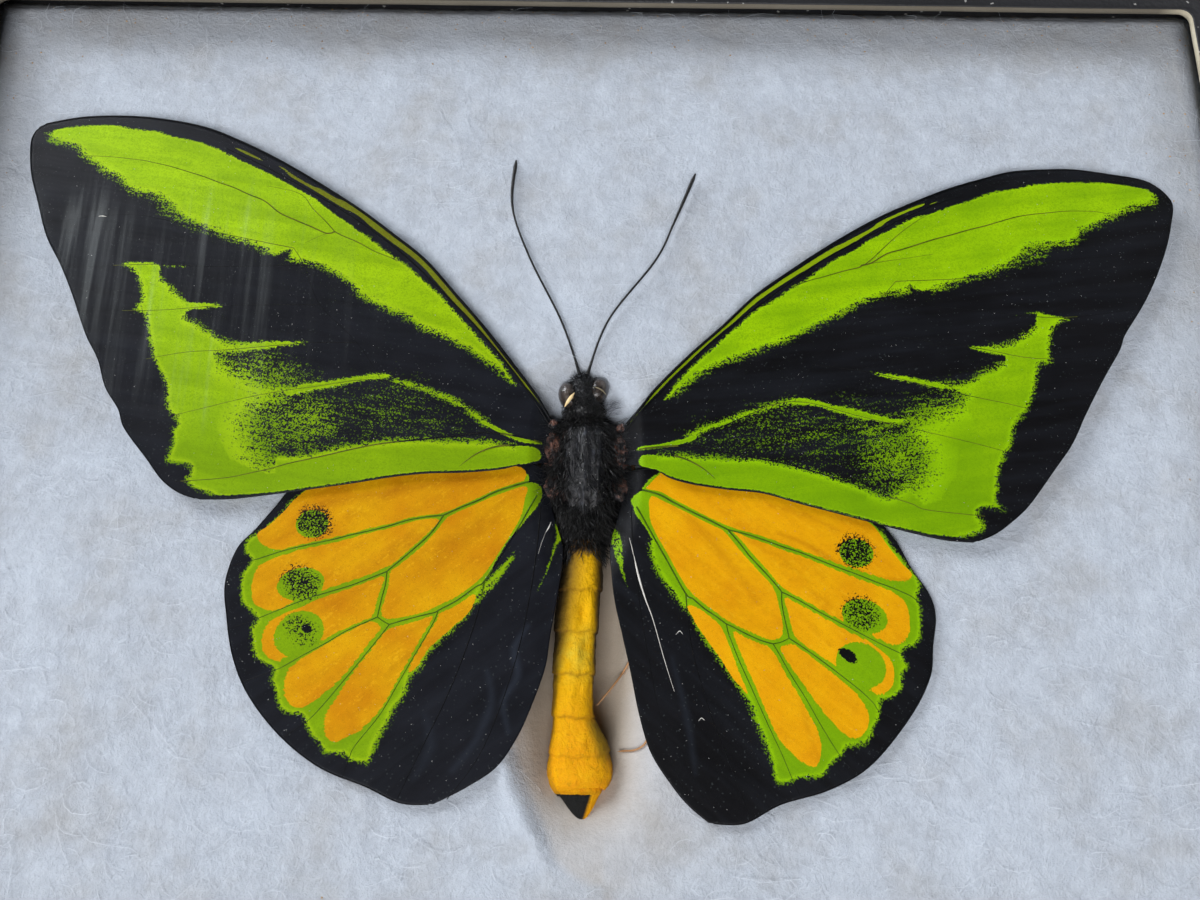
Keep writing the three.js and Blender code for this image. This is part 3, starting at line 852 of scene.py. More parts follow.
GREEN_PATCHES["forewing_right"] = [
    (1.0, [
        (0.4, [
            (87, 39.2), (86, 40), (84, 40.5), (82, 40.8), (80, 41), (77.5, 41.2), (75, 41.2), (72.5, 41.1),
            (70, 40.8), (67.5, 40.5), (65, 39.9), (62.5, 39.3), (60, 38.5), (57.5, 37.5), (55, 36.5), (52.5, 35.6),
            (50, 34.8), (47.5, 33.6), (45, 32.2), (42.5, 30.8), (40, 29), (38, 28),
        ]),
        (0.6, [
            (35, 26), (32.5, 24), (30, 22.4), (27.5, 20.5), (25, 19), (22.5, 16.8), (20, 14.5), (17.5, 12),
            (15, 9.6), (13.5, 8), (12.5, 6.6), (11.2, 4.8),
        ]),
        (1.6, [
            (12.5, 5.5), (14, 6.7), (15, 7.6), (16.5, 8.7), (18, 9.7), (19.5, 10.4), (21, 11), (23, 11.8),
            (25, 12.6), (27.5, 13.6), (29.5, 14.4), (31, 15.2), (32.5, 16), (34, 16.8), (35.5, 17.6), (37, 18.5),
            (38.5, 19.3), (40, 20.2), (41, 20.6), (42.5, 21.2), (44, 21.8), (46, 22.2), (47.5, 22.2),
        ]),
        (0.6, [(48, 23.3), (49.4, 22.6)]),
        (1.8, [
            (51, 22.7), (53, 23.2), (55, 24), (57.5, 24.8), (60, 25.6), (63, 27), (65, 28.4), (66.5, 30),
            (70, 30.4), (72.5, 30.5), (73.5, 31), (74.5, 32), (75, 32.8), (76.5, 33.5), (78, 34.3), (79.3, 35),
            (80.5, 35.4), (81.5, 36), (82.5, 36.6), (83.5, 37), (85, 37.4), (86.5, 37.8),
        ]),
    ]),
    (0.5, [(1.8, [
        (58, 25), (60, 25.4), (63, 26), (65, 26.6), (66, 27.3), (68.5, 27.8), (69.5, 29.5), (71, 31), (66, 31.5),
        (60, 28),
    ])]),
    (1.0, [
        (0.5, [(71.7, 18.3), (69.5, 18.6), (67, 19.1), (66.5, 18.6)]),
        (1.5, [(66.2, 17), (65, 16), (63.8, 15), (62, 14.2), (61, 13.8)]),
        (0.5, [(59, 13.7), (57.5, 13.6), (55.8, 13.6), (58, 12.8), (60, 12.5), (61.3, 12.1)]),
        (1.6, [(61, 11.4), (60.3, 10.8), (59.5, 10), (58, 9.6), (57, 9), (56, 8.3), (55, 7.8), (54, 7.6)]),
        (0.5, [
            (52, 7.8), (50, 8), (47.5, 8.5), (45, 8.9), (43, 9.2), (41.3, 9.3), (43, 8.7), (45, 8.2), (47.5, 7.8),
            (50, 7.2),
        ]),
        (1.8, [(52, 6.8), (54, 6.3), (55, 5.9)]),
        (6.0, [(54.5, 5.7), (52.5, 5), (50.5, 4), (48.5, 2.9), (46.5, 2)]),
        (8.0, [(45.5, 0.2), (46, -1.8), (47, -3.6), (46.5, -5.5)]),
        (2.2, [(45, -7.5), (43, -9), (42, -9)]),
        (1.4, [
            (40, -8.3), (38, -7.6), (36, -6.9), (34, -6.2), (32, -5.6), (30, -5.1), (28, -4.7), (26, -4.3),
            (24, -3.9), (20, -4), (18, -3.8), (14, -3.6), (12, -3.5),
        ]),
        (0.35, [
            (10, -3.6), (8, -3.7), (7.6, -4.2), (7.6, -5), (8.5, -5.7), (10, -5.8), (11.8, -6.7), (15, -7.6),
            (20, -8.3), (25, -8.8), (30, -10.2), (35, -11.5), (40, -12.8), (43, -13.6), (46, -14.2), (48, -14.6),
            (50, -14.9),
        ]),
        (1.0, [
            (52, -15), (53.5, -14.8), (55, -14.3), (56, -13.6), (55.7, -13), (55, -12), (55.2, -11.2), (56, -10.7),
            (57.5, -10.8), (58.9, -11), (58.2, -10.3), (57.8, -9.5), (58.2, -8), (58.4, -6.5), (58.7, -5),
            (59.2, -4), (59.6, -3), (60.2, -2.3), (60.6, -1.5), (60.9, -0.5), (61.2, 0.5), (61.8, 2), (62.8, 3),
            (63.6, 4), (64.4, 5.5), (65, 7), (65.3, 8.5), (65.8, 10), (66, 11), (67.9, 11.3), (67.8, 12),
            (67.8, 13), (68, 14.5), (68.2, 15.5), (68.6, 16.5), (69.5, 17.5), (70.4, 18.1),
        ]),
    ]),
    (0.3, [(6.0, [
        (14, 0.4), (20, 1.4), (26, 3.8), (32, 4.4), (38, 2.8), (42, 0), (40, -5), (34, -5), (24, -3.9), (16, -3),
    ])]),
    (0.6, [(7.0, [(38, 3.2), (44, 2), (54, 6), (50, -6), (44, -9), (40, -6)])]),
    (0.85, [(0.9, [
        (31.5, 4.5), (31.5, 5.2), (30, 5.2), (28, 4.8), (26, 4.2), (24, 3.5), (22.5, 3), (21, 2.3), (19, 1.6),
        (17, 0.9), (15.5, 0.1), (14, -0.8), (14.5, -1.7), (17, -0.2), (20, 0.9), (23, 2.2), (27, 3.6),
    ])]),
]
GREEN_PATCHES["hindwing_left"] = [
    (1.0, [
        (0.8, [
            (-40.6, -10), (-42.6, -12.4), (-44.4, -14.2), (-45.3, -15.2), (-46.4, -15.8), (-47.4, -16.9),
            (-47.3, -18.2), (-46.3, -19.3), (-46.6, -20), (-47.3, -21.2), (-47.5, -22.5), (-47.2, -24.2),
            (-46.8, -25.4), (-45.6, -26.4), (-44.9, -27), (-44.6, -27.8), (-45.4, -28.7), (-45.1, -30),
            (-44.9, -31.3), (-44.3, -32.6), (-43.4, -33.3), (-42.3, -33.7), (-41.6, -34.3), (-41.9, -35.8),
            (-41.3, -36.7), (-40.8, -38.3), (-40.2, -39.4), (-38.9, -40), (-37.6, -40), (-36.9, -40.8),
            (-36.6, -41.6), (-35.6, -43), (-34.6, -44), (-33.8, -44.9), (-32.3, -45), (-31, -45.2), (-30.6, -45.9),
            (-29.6, -46), (-28.2, -46.1),
        ]),
        (1.1, [
            (-27.6, -45), (-27.2, -43.5), (-26.4, -42), (-25.7, -40.8), (-25.3, -39.3), (-24.3, -38),
            (-23.6, -36.6), (-23.3, -35), (-22.2, -34), (-21.6, -33), (-21, -32), (-20, -30.6), (-18.6, -29.5),
            (-17.5, -28), (-16.2, -27), (-15.2, -25), (-14.6, -24),
        ]),
        (0.4, [
            (-13.8, -22.2), (-12.8, -20), (-11.8, -18), (-10.6, -16), (-9.5, -14.6), (-8.2, -13), (-7.1, -11.5),
            (-6.4, -10), (-6.2, -9), (-6.6, -8), (-7.4, -7.6), (-8, -7.4), (-9, -6),
        ]),
        (0.4, [(-15, -4.2), (-25, -4), (-35, -5.8)]),
    ]),
    (0.8, [(0.5, [
        (-4.3, -13), (-4.1, -15), (-4.5, -17), (-5.4, -20.5), (-6.6, -23.4), (-5.2, -20.5), (-4.7, -19),
        (-3.9, -16.5), (-3.1, -15.3), (-2.9, -14),
    ])]),
]
GREEN_PATCHES["hindwing_right"] = [
    (1.0, [
        (0.8, [
            (41.2, -13.8), (42.4, -15.6), (43.6, -17.3), (44.6, -18.7), (45.1, -19.5), (46, -20.2), (46.3, -21.2),
            (46.4, -22.3), (45.8, -23.2), (46.2, -24.5), (46.2, -26), (46.1, -27.5), (45.8, -29), (45, -30),
            (43.9, -30.3), (43.2, -30.7), (43.5, -31.9), (44, -32.8), (43.2, -33.5), (43.1, -34.8), (42.8, -36),
            (41.9, -36.8), (40.8, -37.1), (39.9, -37.3), (39.8, -38.5), (39.6, -39.8), (38.8, -40.8), (38.4, -42),
            (37.5, -42.9), (36.4, -43.2), (35, -43.4), (34.4, -44.5), (33.5, -45), (32.6, -46), (31.8, -47),
            (30.4, -47.3), (29.3, -47.3), (28, -47.6), (27, -48), (25.6, -47.8),
        ]),
        (1.1, [
            (25.2, -46), (24.8, -44.5), (24.2, -42.8), (23.6, -41.3), (23, -40), (22.6, -38.6), (21.9, -37.2),
            (21, -35.9), (19.9, -34.3), (18.8, -32.8), (17.7, -31), (16.4, -29.4), (15.5, -28), (14.8, -26.5),
            (14.3, -25.6), (13.6, -25.2), (12.7, -24), (11.6, -22.5), (10.6, -21), (9.7, -19.5), (9.2, -18),
            (9, -16.5),
        ]),
        (0.4, [
            (9.2, -15.5), (8.6, -14.3), (7.8, -13.2), (7, -12), (6.7, -10.8), (6.4, -10), (7, -9.2), (7.8, -8.7),
            (9, -7),
        ]),
        (0.4, [(12, -5.6), (20, -5.4), (28, -6.4), (35, -9)]),
    ]),
    (0.6, [(0.5, [
        (3.7, -13.4), (4.9, -15), (5.3, -17), (5.4, -19), (5.6, -21), (6, -22.5), (5.2, -20.8), (4.8, -19.7),
        (4, -17.5), (3.5, -15.5),
    ])]),
]
GREEN_RIBBONS = {}
GREEN_RIBBONS["forewing_left"] = [
    (1.0, 0.4, (0.28, 0.3, 0.3, 0.2), [
        (-15, 1), (-14, 0.5), (-12.5, -0.3), (-11, -1), (-9.5, -1.6), (-8, -1.9), (-6.6, -1.8),
    ]),
    (0.6, 0.5, (0.1, 0.15, 0.05), [(-66, 25.2), (-63, 25.1), (-60.5, 24.9)]),
]
GREEN_RIBBONS["forewing_right"] = [
    (1.0, 0.4, (0.2, 0.35, 0.6, 0.4, 0.5), [
        (46, 1.9), (44.5, 1.9), (42.5, 2.2), (40, 2.7), (37.5, 3.3), (35, 3.9), (32.5, 4.6), (30, 4.7),
    ]),
    (1.0, 0.4, (0.3, 0.35, 0.25), [(15.5, -0.9), (14, -1.5), (12, -2), (10, -2.4), (7.5, -2.7)]),
    (0.8, 0.4, (0.1, 0.1), [(67, 19), (65, 19), (63.5, 18.9)]),
]
GREEN_RIBBONS["hindwing_left"] = [
    (0.7, 0.8, (0.3, 0.75, 0.6, 0.25), [(-15, -25), (-13.9, -23.4), (-12.5, -21.6), (-11.2, -19.9), (-9.8, -18)]),
]
STREAK_RIBBONS = {}
STREAK_RIBBONS["forewing_left"] = [
    (1.0, 0.3, (0.05, 0.15, 0.25, 0.4, 0.5, 0.45, 0.4, 0.35, 0.25, 0.15, 0.05), [
        (-56, 45.7), (-54, 44.7), (-50, 42.9), (-47.5, 41.6), (-45, 39.9), (-42.5, 38.4), (-40, 37), (-37.5, 35.6),
        (-35, 34.1), (-32.5, 32), (-30, 30), (-27.5, 28.1), (-25, 25.9), (-22.5, 23.1), (-20, 20.1), (-17.5, 17.3),
        (-15, 14.2), (-12.5, 11), (-10, 7.9), (-7.5, 4.9), (-5.8, 2.5),
    ]),
]
STREAK_RIBBONS["forewing_right"] = [
    (1.0, 0.3, (0.05, 0.15, 0.2, 0.3, 0.35, 0.35, 0.3, 0.3, 0.25, 0.2, 0.2, 0.1), [
        (58, 39.6), (55, 38.5), (52.5, 37.3), (50, 36.5), (47.5, 35.3), (45, 34), (42.5, 32.3), (40, 30.8),
        (37.5, 29.3), (35, 27.7), (32.5, 26), (30, 24.4), (27.5, 22.6), (25, 20.7), (22.5, 18.4), (20, 15.9),
        (17.5, 13.6), (15, 11.2), (12.5, 8.7), (10.5, 6.5), (9, 4.7), (7.5, 2.8), (6.3, 1.4),
    ]),
]
GOLD_CELLS = {}
GOLD_CELLS["hindwing_left"] = [
    [
        (-40.4, -9.9), (-42.4, -12.3), (-44.3, -14.3), (-45.9, -15.6), (-45.3, -16.8), (-44, -17.6), (-42.3, -17.8),
        (-40.4, -17.2), (-37.5, -16.5), (-33, -15.4), (-30, -14.5), (-27.5, -13.9), (-25, -13.1), (-22.5, -12.6),
        (-20.2, -12.3), (-17.5, -11.1), (-15, -9.9), (-12.5, -8.7), (-10, -7.8), (-8.7, -7.2), (-9.3, -5.5),
        (-15, -4.6), (-25, -4.4), (-35, -6.4),
    ],
    [
        (-20.6, -13.3), (-21.6, -14.7), (-23.5, -16.6), (-25.5, -18.5), (-26.8, -19.7), (-28.5, -20.5),
        (-30, -21.2), (-32.5, -22.1), (-35, -23), (-37, -23.8), (-40.3, -25.3), (-41.5, -26), (-43, -26.3),
        (-44.3, -25.9), (-45.4, -25.2), (-45.8, -24), (-45.9, -22.5), (-45.6, -21), (-45, -20), (-44, -19.4),
        (-42.5, -18.8), (-40, -17.9), (-37.5, -17.3), (-35, -16.7), (-32.5, -16), (-30, -15.2), (-27.5, -14.6),
        (-25, -13.8), (-22.5, -13.2),
    ],
    [
        (-28, -21.4), (-30, -22.2), (-32.5, -23.2), (-35, -24.1), (-37.2, -25), (-39.5, -26.1), (-41.3, -26.9),
        (-42.8, -27.8), (-43.5, -29), (-43.7, -30.3), (-43.5, -31.5), (-42.8, -32.5), (-41.8, -33), (-41, -33.1),
        (-40.7, -32.7), (-39, -32.2), (-36.5, -31.2), (-34.3, -29.5), (-32.5, -28.6), (-30.5, -27.6),
        (-29.3, -27.1), (-28.8, -26.3), (-28.6, -25), (-28.1, -23), (-27.7, -21.8),
    ],
    [
        (-19.5, -13), (-20.5, -14.4), (-22, -16.3), (-24, -18.3), (-26, -20), (-26.9, -20.8), (-27, -22.5),
        (-27.4, -24.5), (-27.8, -26), (-27.5, -27), (-26.6, -27.2), (-25, -27), (-22.5, -26.4), (-20.8, -25.7),
        (-20, -25.3), (-17.5, -24), (-15.5, -22.5), (-14, -21), (-12.7, -19), (-11.5, -17), (-10.3, -15),
        (-9.2, -12.8), (-8.8, -11.2), (-8.6, -9.8), (-8.3, -8.6), (-9, -8.3), (-11, -9), (-13.5, -10), (-16, -11.2),
        (-18.5, -12.4),
    ],
    [
        (-28.2, -28), (-29, -27.6), (-30.5, -28.2), (-32.5, -29.3), (-35, -30.9), (-37.3, -32.3), (-39.2, -33.7),
        (-40, -35), (-40.1, -36.5), (-39.8, -37.8), (-39, -38.9), (-37.8, -39.2), (-36.5, -38.6), (-35, -37.5),
        (-33, -35.7), (-31, -33.2), (-29.2, -30.5), (-28, -29), (-27.8, -28.5),
    ],
    [
        (-26, -28.4), (-24.5, -28), (-22.5, -27.4), (-20.8, -26.8), (-21, -27.6), (-22.3, -30), (-23.8, -33),
        (-25.2, -35.8), (-26.4, -38.3), (-27.7, -40.2), (-28.8, -41.3), (-29.5, -42), (-31, -42.8), (-32.3, -43.5),
        (-33.3, -43.4), (-34, -42.6), (-34.3, -41), (-33.9, -39.5), (-33, -38), (-32, -36.2), (-30.5, -33.8),
        (-29, -31.8), (-27.5, -29.6), (-26.6, -28.7),
    ],
    [
        (-19.7, -26.4), (-18, -25.6), (-16.5, -24.6), (-15.2, -23.7), (-15, -24.3), (-15.4, -25.5), (-16.3, -26.8),
        (-18, -28.3), (-19.8, -30), (-21.3, -31.6), (-22.2, -33.2), (-23.3, -34.4), (-23.4, -33.6), (-22, -30.8),
        (-20.8, -28.6), (-20, -27.2),
    ],
]
GOLD_CELLS["hindwing_right"] = [
    [
        (10.5, -6.3), (11.5, -6), (20, -5.8), (28, -6.8), (35, -9.4), (38.5, -12), (40.3, -13.3), (41.1, -14.2),
        (42.2, -16), (43.3, -17.5), (44.3, -18.9), (45.4, -20), (45, -20.8), (44.2, -21.1), (42.3, -21),
        (40.5, -20.5), (38, -19.7), (35.5, -18.9), (32.5, -17.8), (30, -16.9), (27.5, -16), (25, -15.1),
        (22.5, -14.4), (20.2, -13.7), (17.5, -12.5), (15, -11.2), (12.5, -9.9), (10.5, -8.8), (8.6, -8.4),
        (9, -7.8), (10, -6.7),
    ],
    [
        (20.6, -14.3), (22.5, -15.2), (25, -16), (27.5, -17), (30, -17.8), (32.5, -18.8), (35, -19.8),
        (37.5, -20.8), (40, -21.7), (42.3, -22.6), (43.8, -23.6), (44.5, -25), (44.6, -27), (44.3, -28.5),
        (43.3, -29.6), (42, -29.9), (40.5, -29.2), (39, -28.6), (36, -27), (34.5, -26.3), (32.5, -25.2),
        (30, -23.8), (28, -22.7), (27, -21.9), (25.5, -20), (23.5, -17.7), (21.8, -15.6),
    ],
    [
        (27.6, -23.7), (29, -24.3), (32.5, -26.2), (35, -27.6), (37.5, -28.9), (39.3, -29.8), (40.8, -31),
        (41.9, -32.5), (42, -34), (41.7, -35.2), (40.8, -36.2), (39.7, -36.5), (38.8, -36.1), (37, -35),
        (35.2, -33.8), (33.5, -32.4), (32, -31.3), (30, -30), (28.9, -29), (28.4, -27.5), (28, -25.5),
    ],
    [
        (19.3, -14.3), (20.5, -15.7), (22, -17.6), (24, -19.9), (25.8, -21.9), (26.5, -23.5), (26.9, -25.5),
        (27.2, -27.5), (27, -28.8), (26, -29.4), (25, -29.3), (23, -28.5), (21, -27.6), (19.5, -26.8), (18, -25.7),
        (16, -24.2), (14.5, -22.8), (13, -20.5), (11.7, -18), (10.2, -15.4), (9.2, -13.2), (9, -11.5), (9, -10),
        (9.5, -9.5), (11, -10.2), (13.5, -11.4), (16, -12.7), (18, -13.7),
    ],
    [
        (26.8, -30.7), (27.5, -30.2), (28.6, -30.1), (30, -31), (32.5, -32.9), (35, -35), (36.8, -36.6),
        (37.8, -38), (38.3, -39.5), (37.9, -41), (37, -42), (35.8, -42.2), (34.6, -41.5), (33, -39.8),
        (31.2, -37.5), (29.5, -35), (28, -32.8),
    ],
    [
        (20.4, -28.4), (22, -29.2), (24, -30), (25.3, -30.5), (26.3, -32), (27.5, -34.3), (29, -36.8),
        (30.3, -39.3), (31.3, -41.3), (31.7, -43.5), (31.4, -45), (30.8, -45.9), (29.5, -45.6), (28, -44.4),
        (26.7, -43.2), (25.7, -41.5), (24.6, -39), (23.4, -36), (22.2, -33.3), (21.2, -30.8),
    ],
    [
        (14.2, -25), (15.5, -25.2), (17, -26.2), (18.5, -27.5), (19.3, -29), (20.3, -31.7), (21.2, -34.2),
        (22.2, -36.6), (21.3, -35.8), (20, -34.2), (18.5, -31.8), (17, -29.8), (15.8, -28.1), (14.9, -26.5),
    ],
]
SPOTS = {}
SPOTS["hindwing_left"] = [
    ((-38.4, -14.1), (2.3, 2.0), 0.1),
    ((-39.2, -22.6), (3.3, 2.25), 0.2),
    ((-38.8, -29.4), (3.5, 3.0), 0.5),
]
SPOTS["hindwing_right"] = [
    ((37.9, -17.3), (2.4, 2.0), -0.1),
    ((38.5, -26.1), (3.2, 2.3), -0.3),
    ((37.6, -32.7), (3.5, 3.0), -0.5),
]
PUPILS = {}
PUPILS["hindwing_left"] = [
    ((-38, -13.8), (2.6, 2.3), 0.66),
    ((-39.3, -22.4), (3.0, 2.2), 0.6),
    ((-38.6, -28.9), (2.8, 1.9), 0.4),
    ((-37.8, -28.7), (0.7, 0.5), 1.6),
]
PUPILS["hindwing_right"] = [
    ((37.8, -17), (2.6, 2.3), 0.7),
    ((38, -25.6), (2.7, 2.3), 0.55),
    ((35.9, -31.4), (1.15, 0.52), 3.0),
]
# Folds are ribbons of painted shade across the gold and painted blue-grey sheen across the black
FOLD_SHADE_AND_SHEEN = {}
FOLD_SHADE_AND_SHEEN["hindwing_left"] = [
    (0.8, 1.6, (0.2, 0.5, 0.2), [(-40, -12), (-33, -10.4), (-26, -9), (-18, -7.4), (-11, -6.8)]),
    (0.6, 2.4, (0.3, 0.9, 0.4), [(-12, -10.5), (-15, -14), (-19, -18), (-23, -21)]),
    (0.7, 0.8, (0.1, 0.25, 0.1), [(-44, -17.2), (-41, -15.4), (-38.4, -13.6)]),
    (0.9, 1.2, (0.1, 0.4, 0.3, 0.1), [(-7.6, -28), (-9.4, -31), (-8.8, -34.6), (-10.6, -38), (-9.8, -42)]),
    (0.7, 1.4, (0.1, 0.4, 0.1), [(-13, -34), (-12.2, -38), (-14, -43), (-17, -47)]),
    (0.5, 1.6, (0.1, 0.5, 0.1), [(-21, -40), (-20, -44), (-22, -48)]),
]
FOLD_SHADE_AND_SHEEN["hindwing_right"] = [
    (0.9, 0.9, (0.1, 0.35, 0.3, 0.1), [(27, -14.6), (31, -16.2), (36, -19.4), (40.6, -20.8), (45, -21)]),
    (0.6, 1.2, (0.1, 0.4, 0.1), [(26, -10.6), (31, -12), (36, -14.4)]),
    (0.6, 2.0, (0.2, 0.6, 0.2), [(11, -10), (16, -14), (20, -19), (24, -24)]),
    (0.5, 0.9, (0.1, 0.3, 0.1), [(29, -36), (30, -41), (31.4, -45)]),
    (0.5, 1.2, (0.1, 0.4, 0.1), [(12, -32), (14, -40), (15, -47)]),
]

# Veins as (half widths from root to tip, points); they stand up as fine ridges
VEINS = {}
VEINS["forewing_left"] = [
    ((0.16, 0.13, 0.07), [
        (-38.8, 31.1), (-40, 30.8), (-42.5, 31.9), (-45, 33), (-47.5, 34.2), (-50, 36.2), (-52.5, 37.3),
        (-55, 38.5), (-57.5, 39.4), (-60, 40.4), (-62.5, 41.2), (-65, 42), (-67.5, 42.6), (-70, 43.1), (-75, 43.6),
        (-79.5, 43.7),
    ]),
    ((0.12, 0.06), [(-38.8, 31.1), (-40.5, 33), (-42.5, 35), (-44, 37), (-46, 38), (-50, 38.8)]),
    ((0.09, 0.13), [(-29, 26.3), (-30, 26.9), (-32.5, 27.9), (-35, 29.3), (-37.5, 30.4), (-38.8, 31.1)]),
    ((0.08, 0.05), [(-38.8, 31.1), (-41, 30.3), (-44.8, 28.3)]),
    ((0.24, 0.2, 0.16, 0.1), [
        (-5.2, 0.8), (-10, 7.6), (-15, 13.9), (-20, 19.4), (-27.5, 26.9), (-35, 32.8), (-42.5, 37.6), (-50, 41.9),
        (-57, 45.4),
    ]),
    ((0.22, 0.15, 0.06), [(-10.2, -2.4), (-12.5, -2.6), (-14.5, -3.2), (-16, -4), (-17, -4.8), (-18, -5.7)]),
    ((0.2, 0.14, 0.1, 0.08), [
        (-6.6, -1.8), (-14, -0.6), (-22, -1.6), (-30, -2.6), (-37.5, -4.4), (-40, -5), (-42.5, -5.6), (-45, -6.4),
        (-47.5, -7), (-50, -7.6), (-53, -8), (-58, -8.4),
    ]),
    ((0.1, 0.08, 0.07), [(-14, -0.6), (-22, 3.8), (-30, 7.2), (-40, 6), (-48, 4.6), (-57.5, 2), (-66, -0.4)]),
    ((0.1, 0.07), [(-34, 13), (-41.3, 12.9), (-53, 11.6), (-60, 11), (-71, 8.5)]),
    ((0.1, 0.07), [(-40, 19), (-54, 18.7), (-64, 17.8), (-76, 17.6)]),
    ((0.1, 0.07), [(-43, 25.5), (-56, 25), (-66, 25.3), (-79, 24.6)]),
    ((0.1, 0.07), [(-44.8, 28.3), (-58, 31), (-70, 33.6), (-83, 32)]),
    ((0.09, 0.07), [(-44.8, 28.3), (-43, 25.5), (-40, 19), (-34, 13), (-30, 7.2)]),
]
VEINS["forewing_right"] = [
    ((0.16, 0.13, 0.07), [
        (41, 26.6), (42.5, 27), (45, 28.6), (47.5, 29.4), (52, 31), (55, 31.9), (57.5, 32.7), (60, 33.4),
        (62.5, 34.2), (65, 35), (67.5, 35.5), (70, 35.8), (72.5, 36.1), (75, 36.2), (77.5, 36.1), (80.5, 35.6),
    ]),
    ((0.1, 0.06), [(40.5, 26.2), (42, 26.8), (45, 27.4), (47.5, 27.8), (52, 28.6)]),
    ((0.09, 0.14), [(30, 22.6), (33, 23.9), (35, 24.5), (38, 25.5), (40.5, 26.2), (41, 26.6)]),
    ((0.13, 0.06), [(41.5, 26.7), (43, 28), (45, 30), (47.5, 32.3), (50, 34.2), (52, 35.4)]),
    ((0.24, 0.2, 0.16, 0.1), [
        (5.4, 0.2), (10, 5.4), (15, 10.7), (20, 15.5), (27.5, 21.6), (35, 27.2), (42.5, 31.6), (50, 35.7),
        (57, 38.7),
    ]),
    ((0.22, 0.15, 0.06), [(12, -3.6), (13.5, -4), (15, -4.6), (16.5, -5.5), (17.5, -6.3), (18.3, -7.1)]),
    ((0.2, 0.14, 0.1, 0.08), [
        (7.5, -2.8), (14.5, -2.2), (20, -3.2), (28, -4.6), (34, -6.3), (36, -6.9), (38, -7.6), (40, -8.3),
        (43, -9.4), (46, -10.4), (48, -11.2), (56, -12),
    ]),
    ((0.1, 0.08, 0.07), [(14.5, -1.9), (22.5, 2.2), (30, 4.7), (40, 2.4), (50, 0), (58, -2), (67, -4.6)]),
    ((0.1, 0.07), [(33, 10.5), (41.3, 9.3), (55, 6), (62, 4.5), (71, 2)]),
    ((0.1, 0.07), [(38, 16), (55.8, 13.6), (66, 11.8), (77.5, 12.5)]),
    ((0.1, 0.07), [(43, 20.6), (58, 19.4), (70, 18.4), (82, 20)]),
    ((0.1, 0.07), [(46, 24), (60, 25), (72, 28), (87, 29)]),
    ((0.09, 0.07), [(46, 24), (43, 20.6), (38, 16), (33, 10.5), (30, 4.7)]),
]
VEINS["hindwing_left"] = [
    ((0.2, 0.16), [(-7.4, -7.6), (-8.2, -7.6), (-12.5, -9), (-15, -10.3), (-17.5, -11.4), (-20, -12.6)]),
    ((0.15, 0.1), [
        (-20, -12.6), (-22.5, -12.9), (-25, -13.4), (-27.5, -14.2), (-30, -14.9), (-32.5, -15.5), (-35, -16.2),
        (-37.5, -16.8), (-40, -17.4), (-42.5, -18.1), (-45, -19), (-46.3, -19.4), (-49, -20.2),
    ]),
    ((0.16, 0.13), [(-20, -12.6), (-21.5, -15), (-23, -16.6), (-25, -18.5), (-27, -20.3), (-27.4, -20.7)]),
    ((0.13, 0.08), [
        (-27.4, -20.7), (-30, -21.8), (-32.5, -22.8), (-35, -23.6), (-37.5, -24.4), (-40, -25.4), (-42.5, -26.5),
        (-44.8, -27.5), (-48.6, -29),
    ]),
    ((0.13, 0.12), [(-27.4, -20.7), (-27.5, -22.5), (-27.9, -24.5), (-28.3, -27)]),
    ((0.12, 0.08), [
        (-28.3, -27), (-30, -27.8), (-32.5, -29), (-35, -30.6), (-37.5, -32), (-40, -33.5), (-41.5, -34.3),
        (-46, -36),
    ]),
    ((0.11, 0.11), [(-28.3, -27), (-27.4, -27.6), (-26.6, -28)]),
    ((0.12, 0.08), [
        (-26.6, -28), (-27.5, -29.3), (-30, -32.7), (-32.5, -36), (-35, -39.2), (-36.7, -41), (-39.5, -43),
    ]),
    ((0.12, 0.13), [(-26.6, -28), (-25, -27.5), (-22.5, -26.8), (-20.5, -26.3), (-20, -26)]),
    ((0.13, 0.18), [(-20, -26), (-17.5, -24.6), (-15, -22.7), (-13.8, -21.8), (-11, -17), (-9, -13.5), (-7, -9.5)]),
    ((0.12, 0.08), [
        (-20, -26), (-20.5, -27.5), (-22, -30.5), (-23.5, -33.3), (-25, -36.2), (-27, -40), (-30, -44),
        (-30.6, -45.5), (-31.4, -48),
    ]),
    ((0.14, 0.08), [(-13.8, -21.8), (-15, -28), (-18, -37), (-22, -46), (-24, -50.6)]),
    ((0.14, 0.07), [(-6.4, -11), (-7, -20), (-9, -32), (-13, -44), (-17.5, -50.6)]),
]
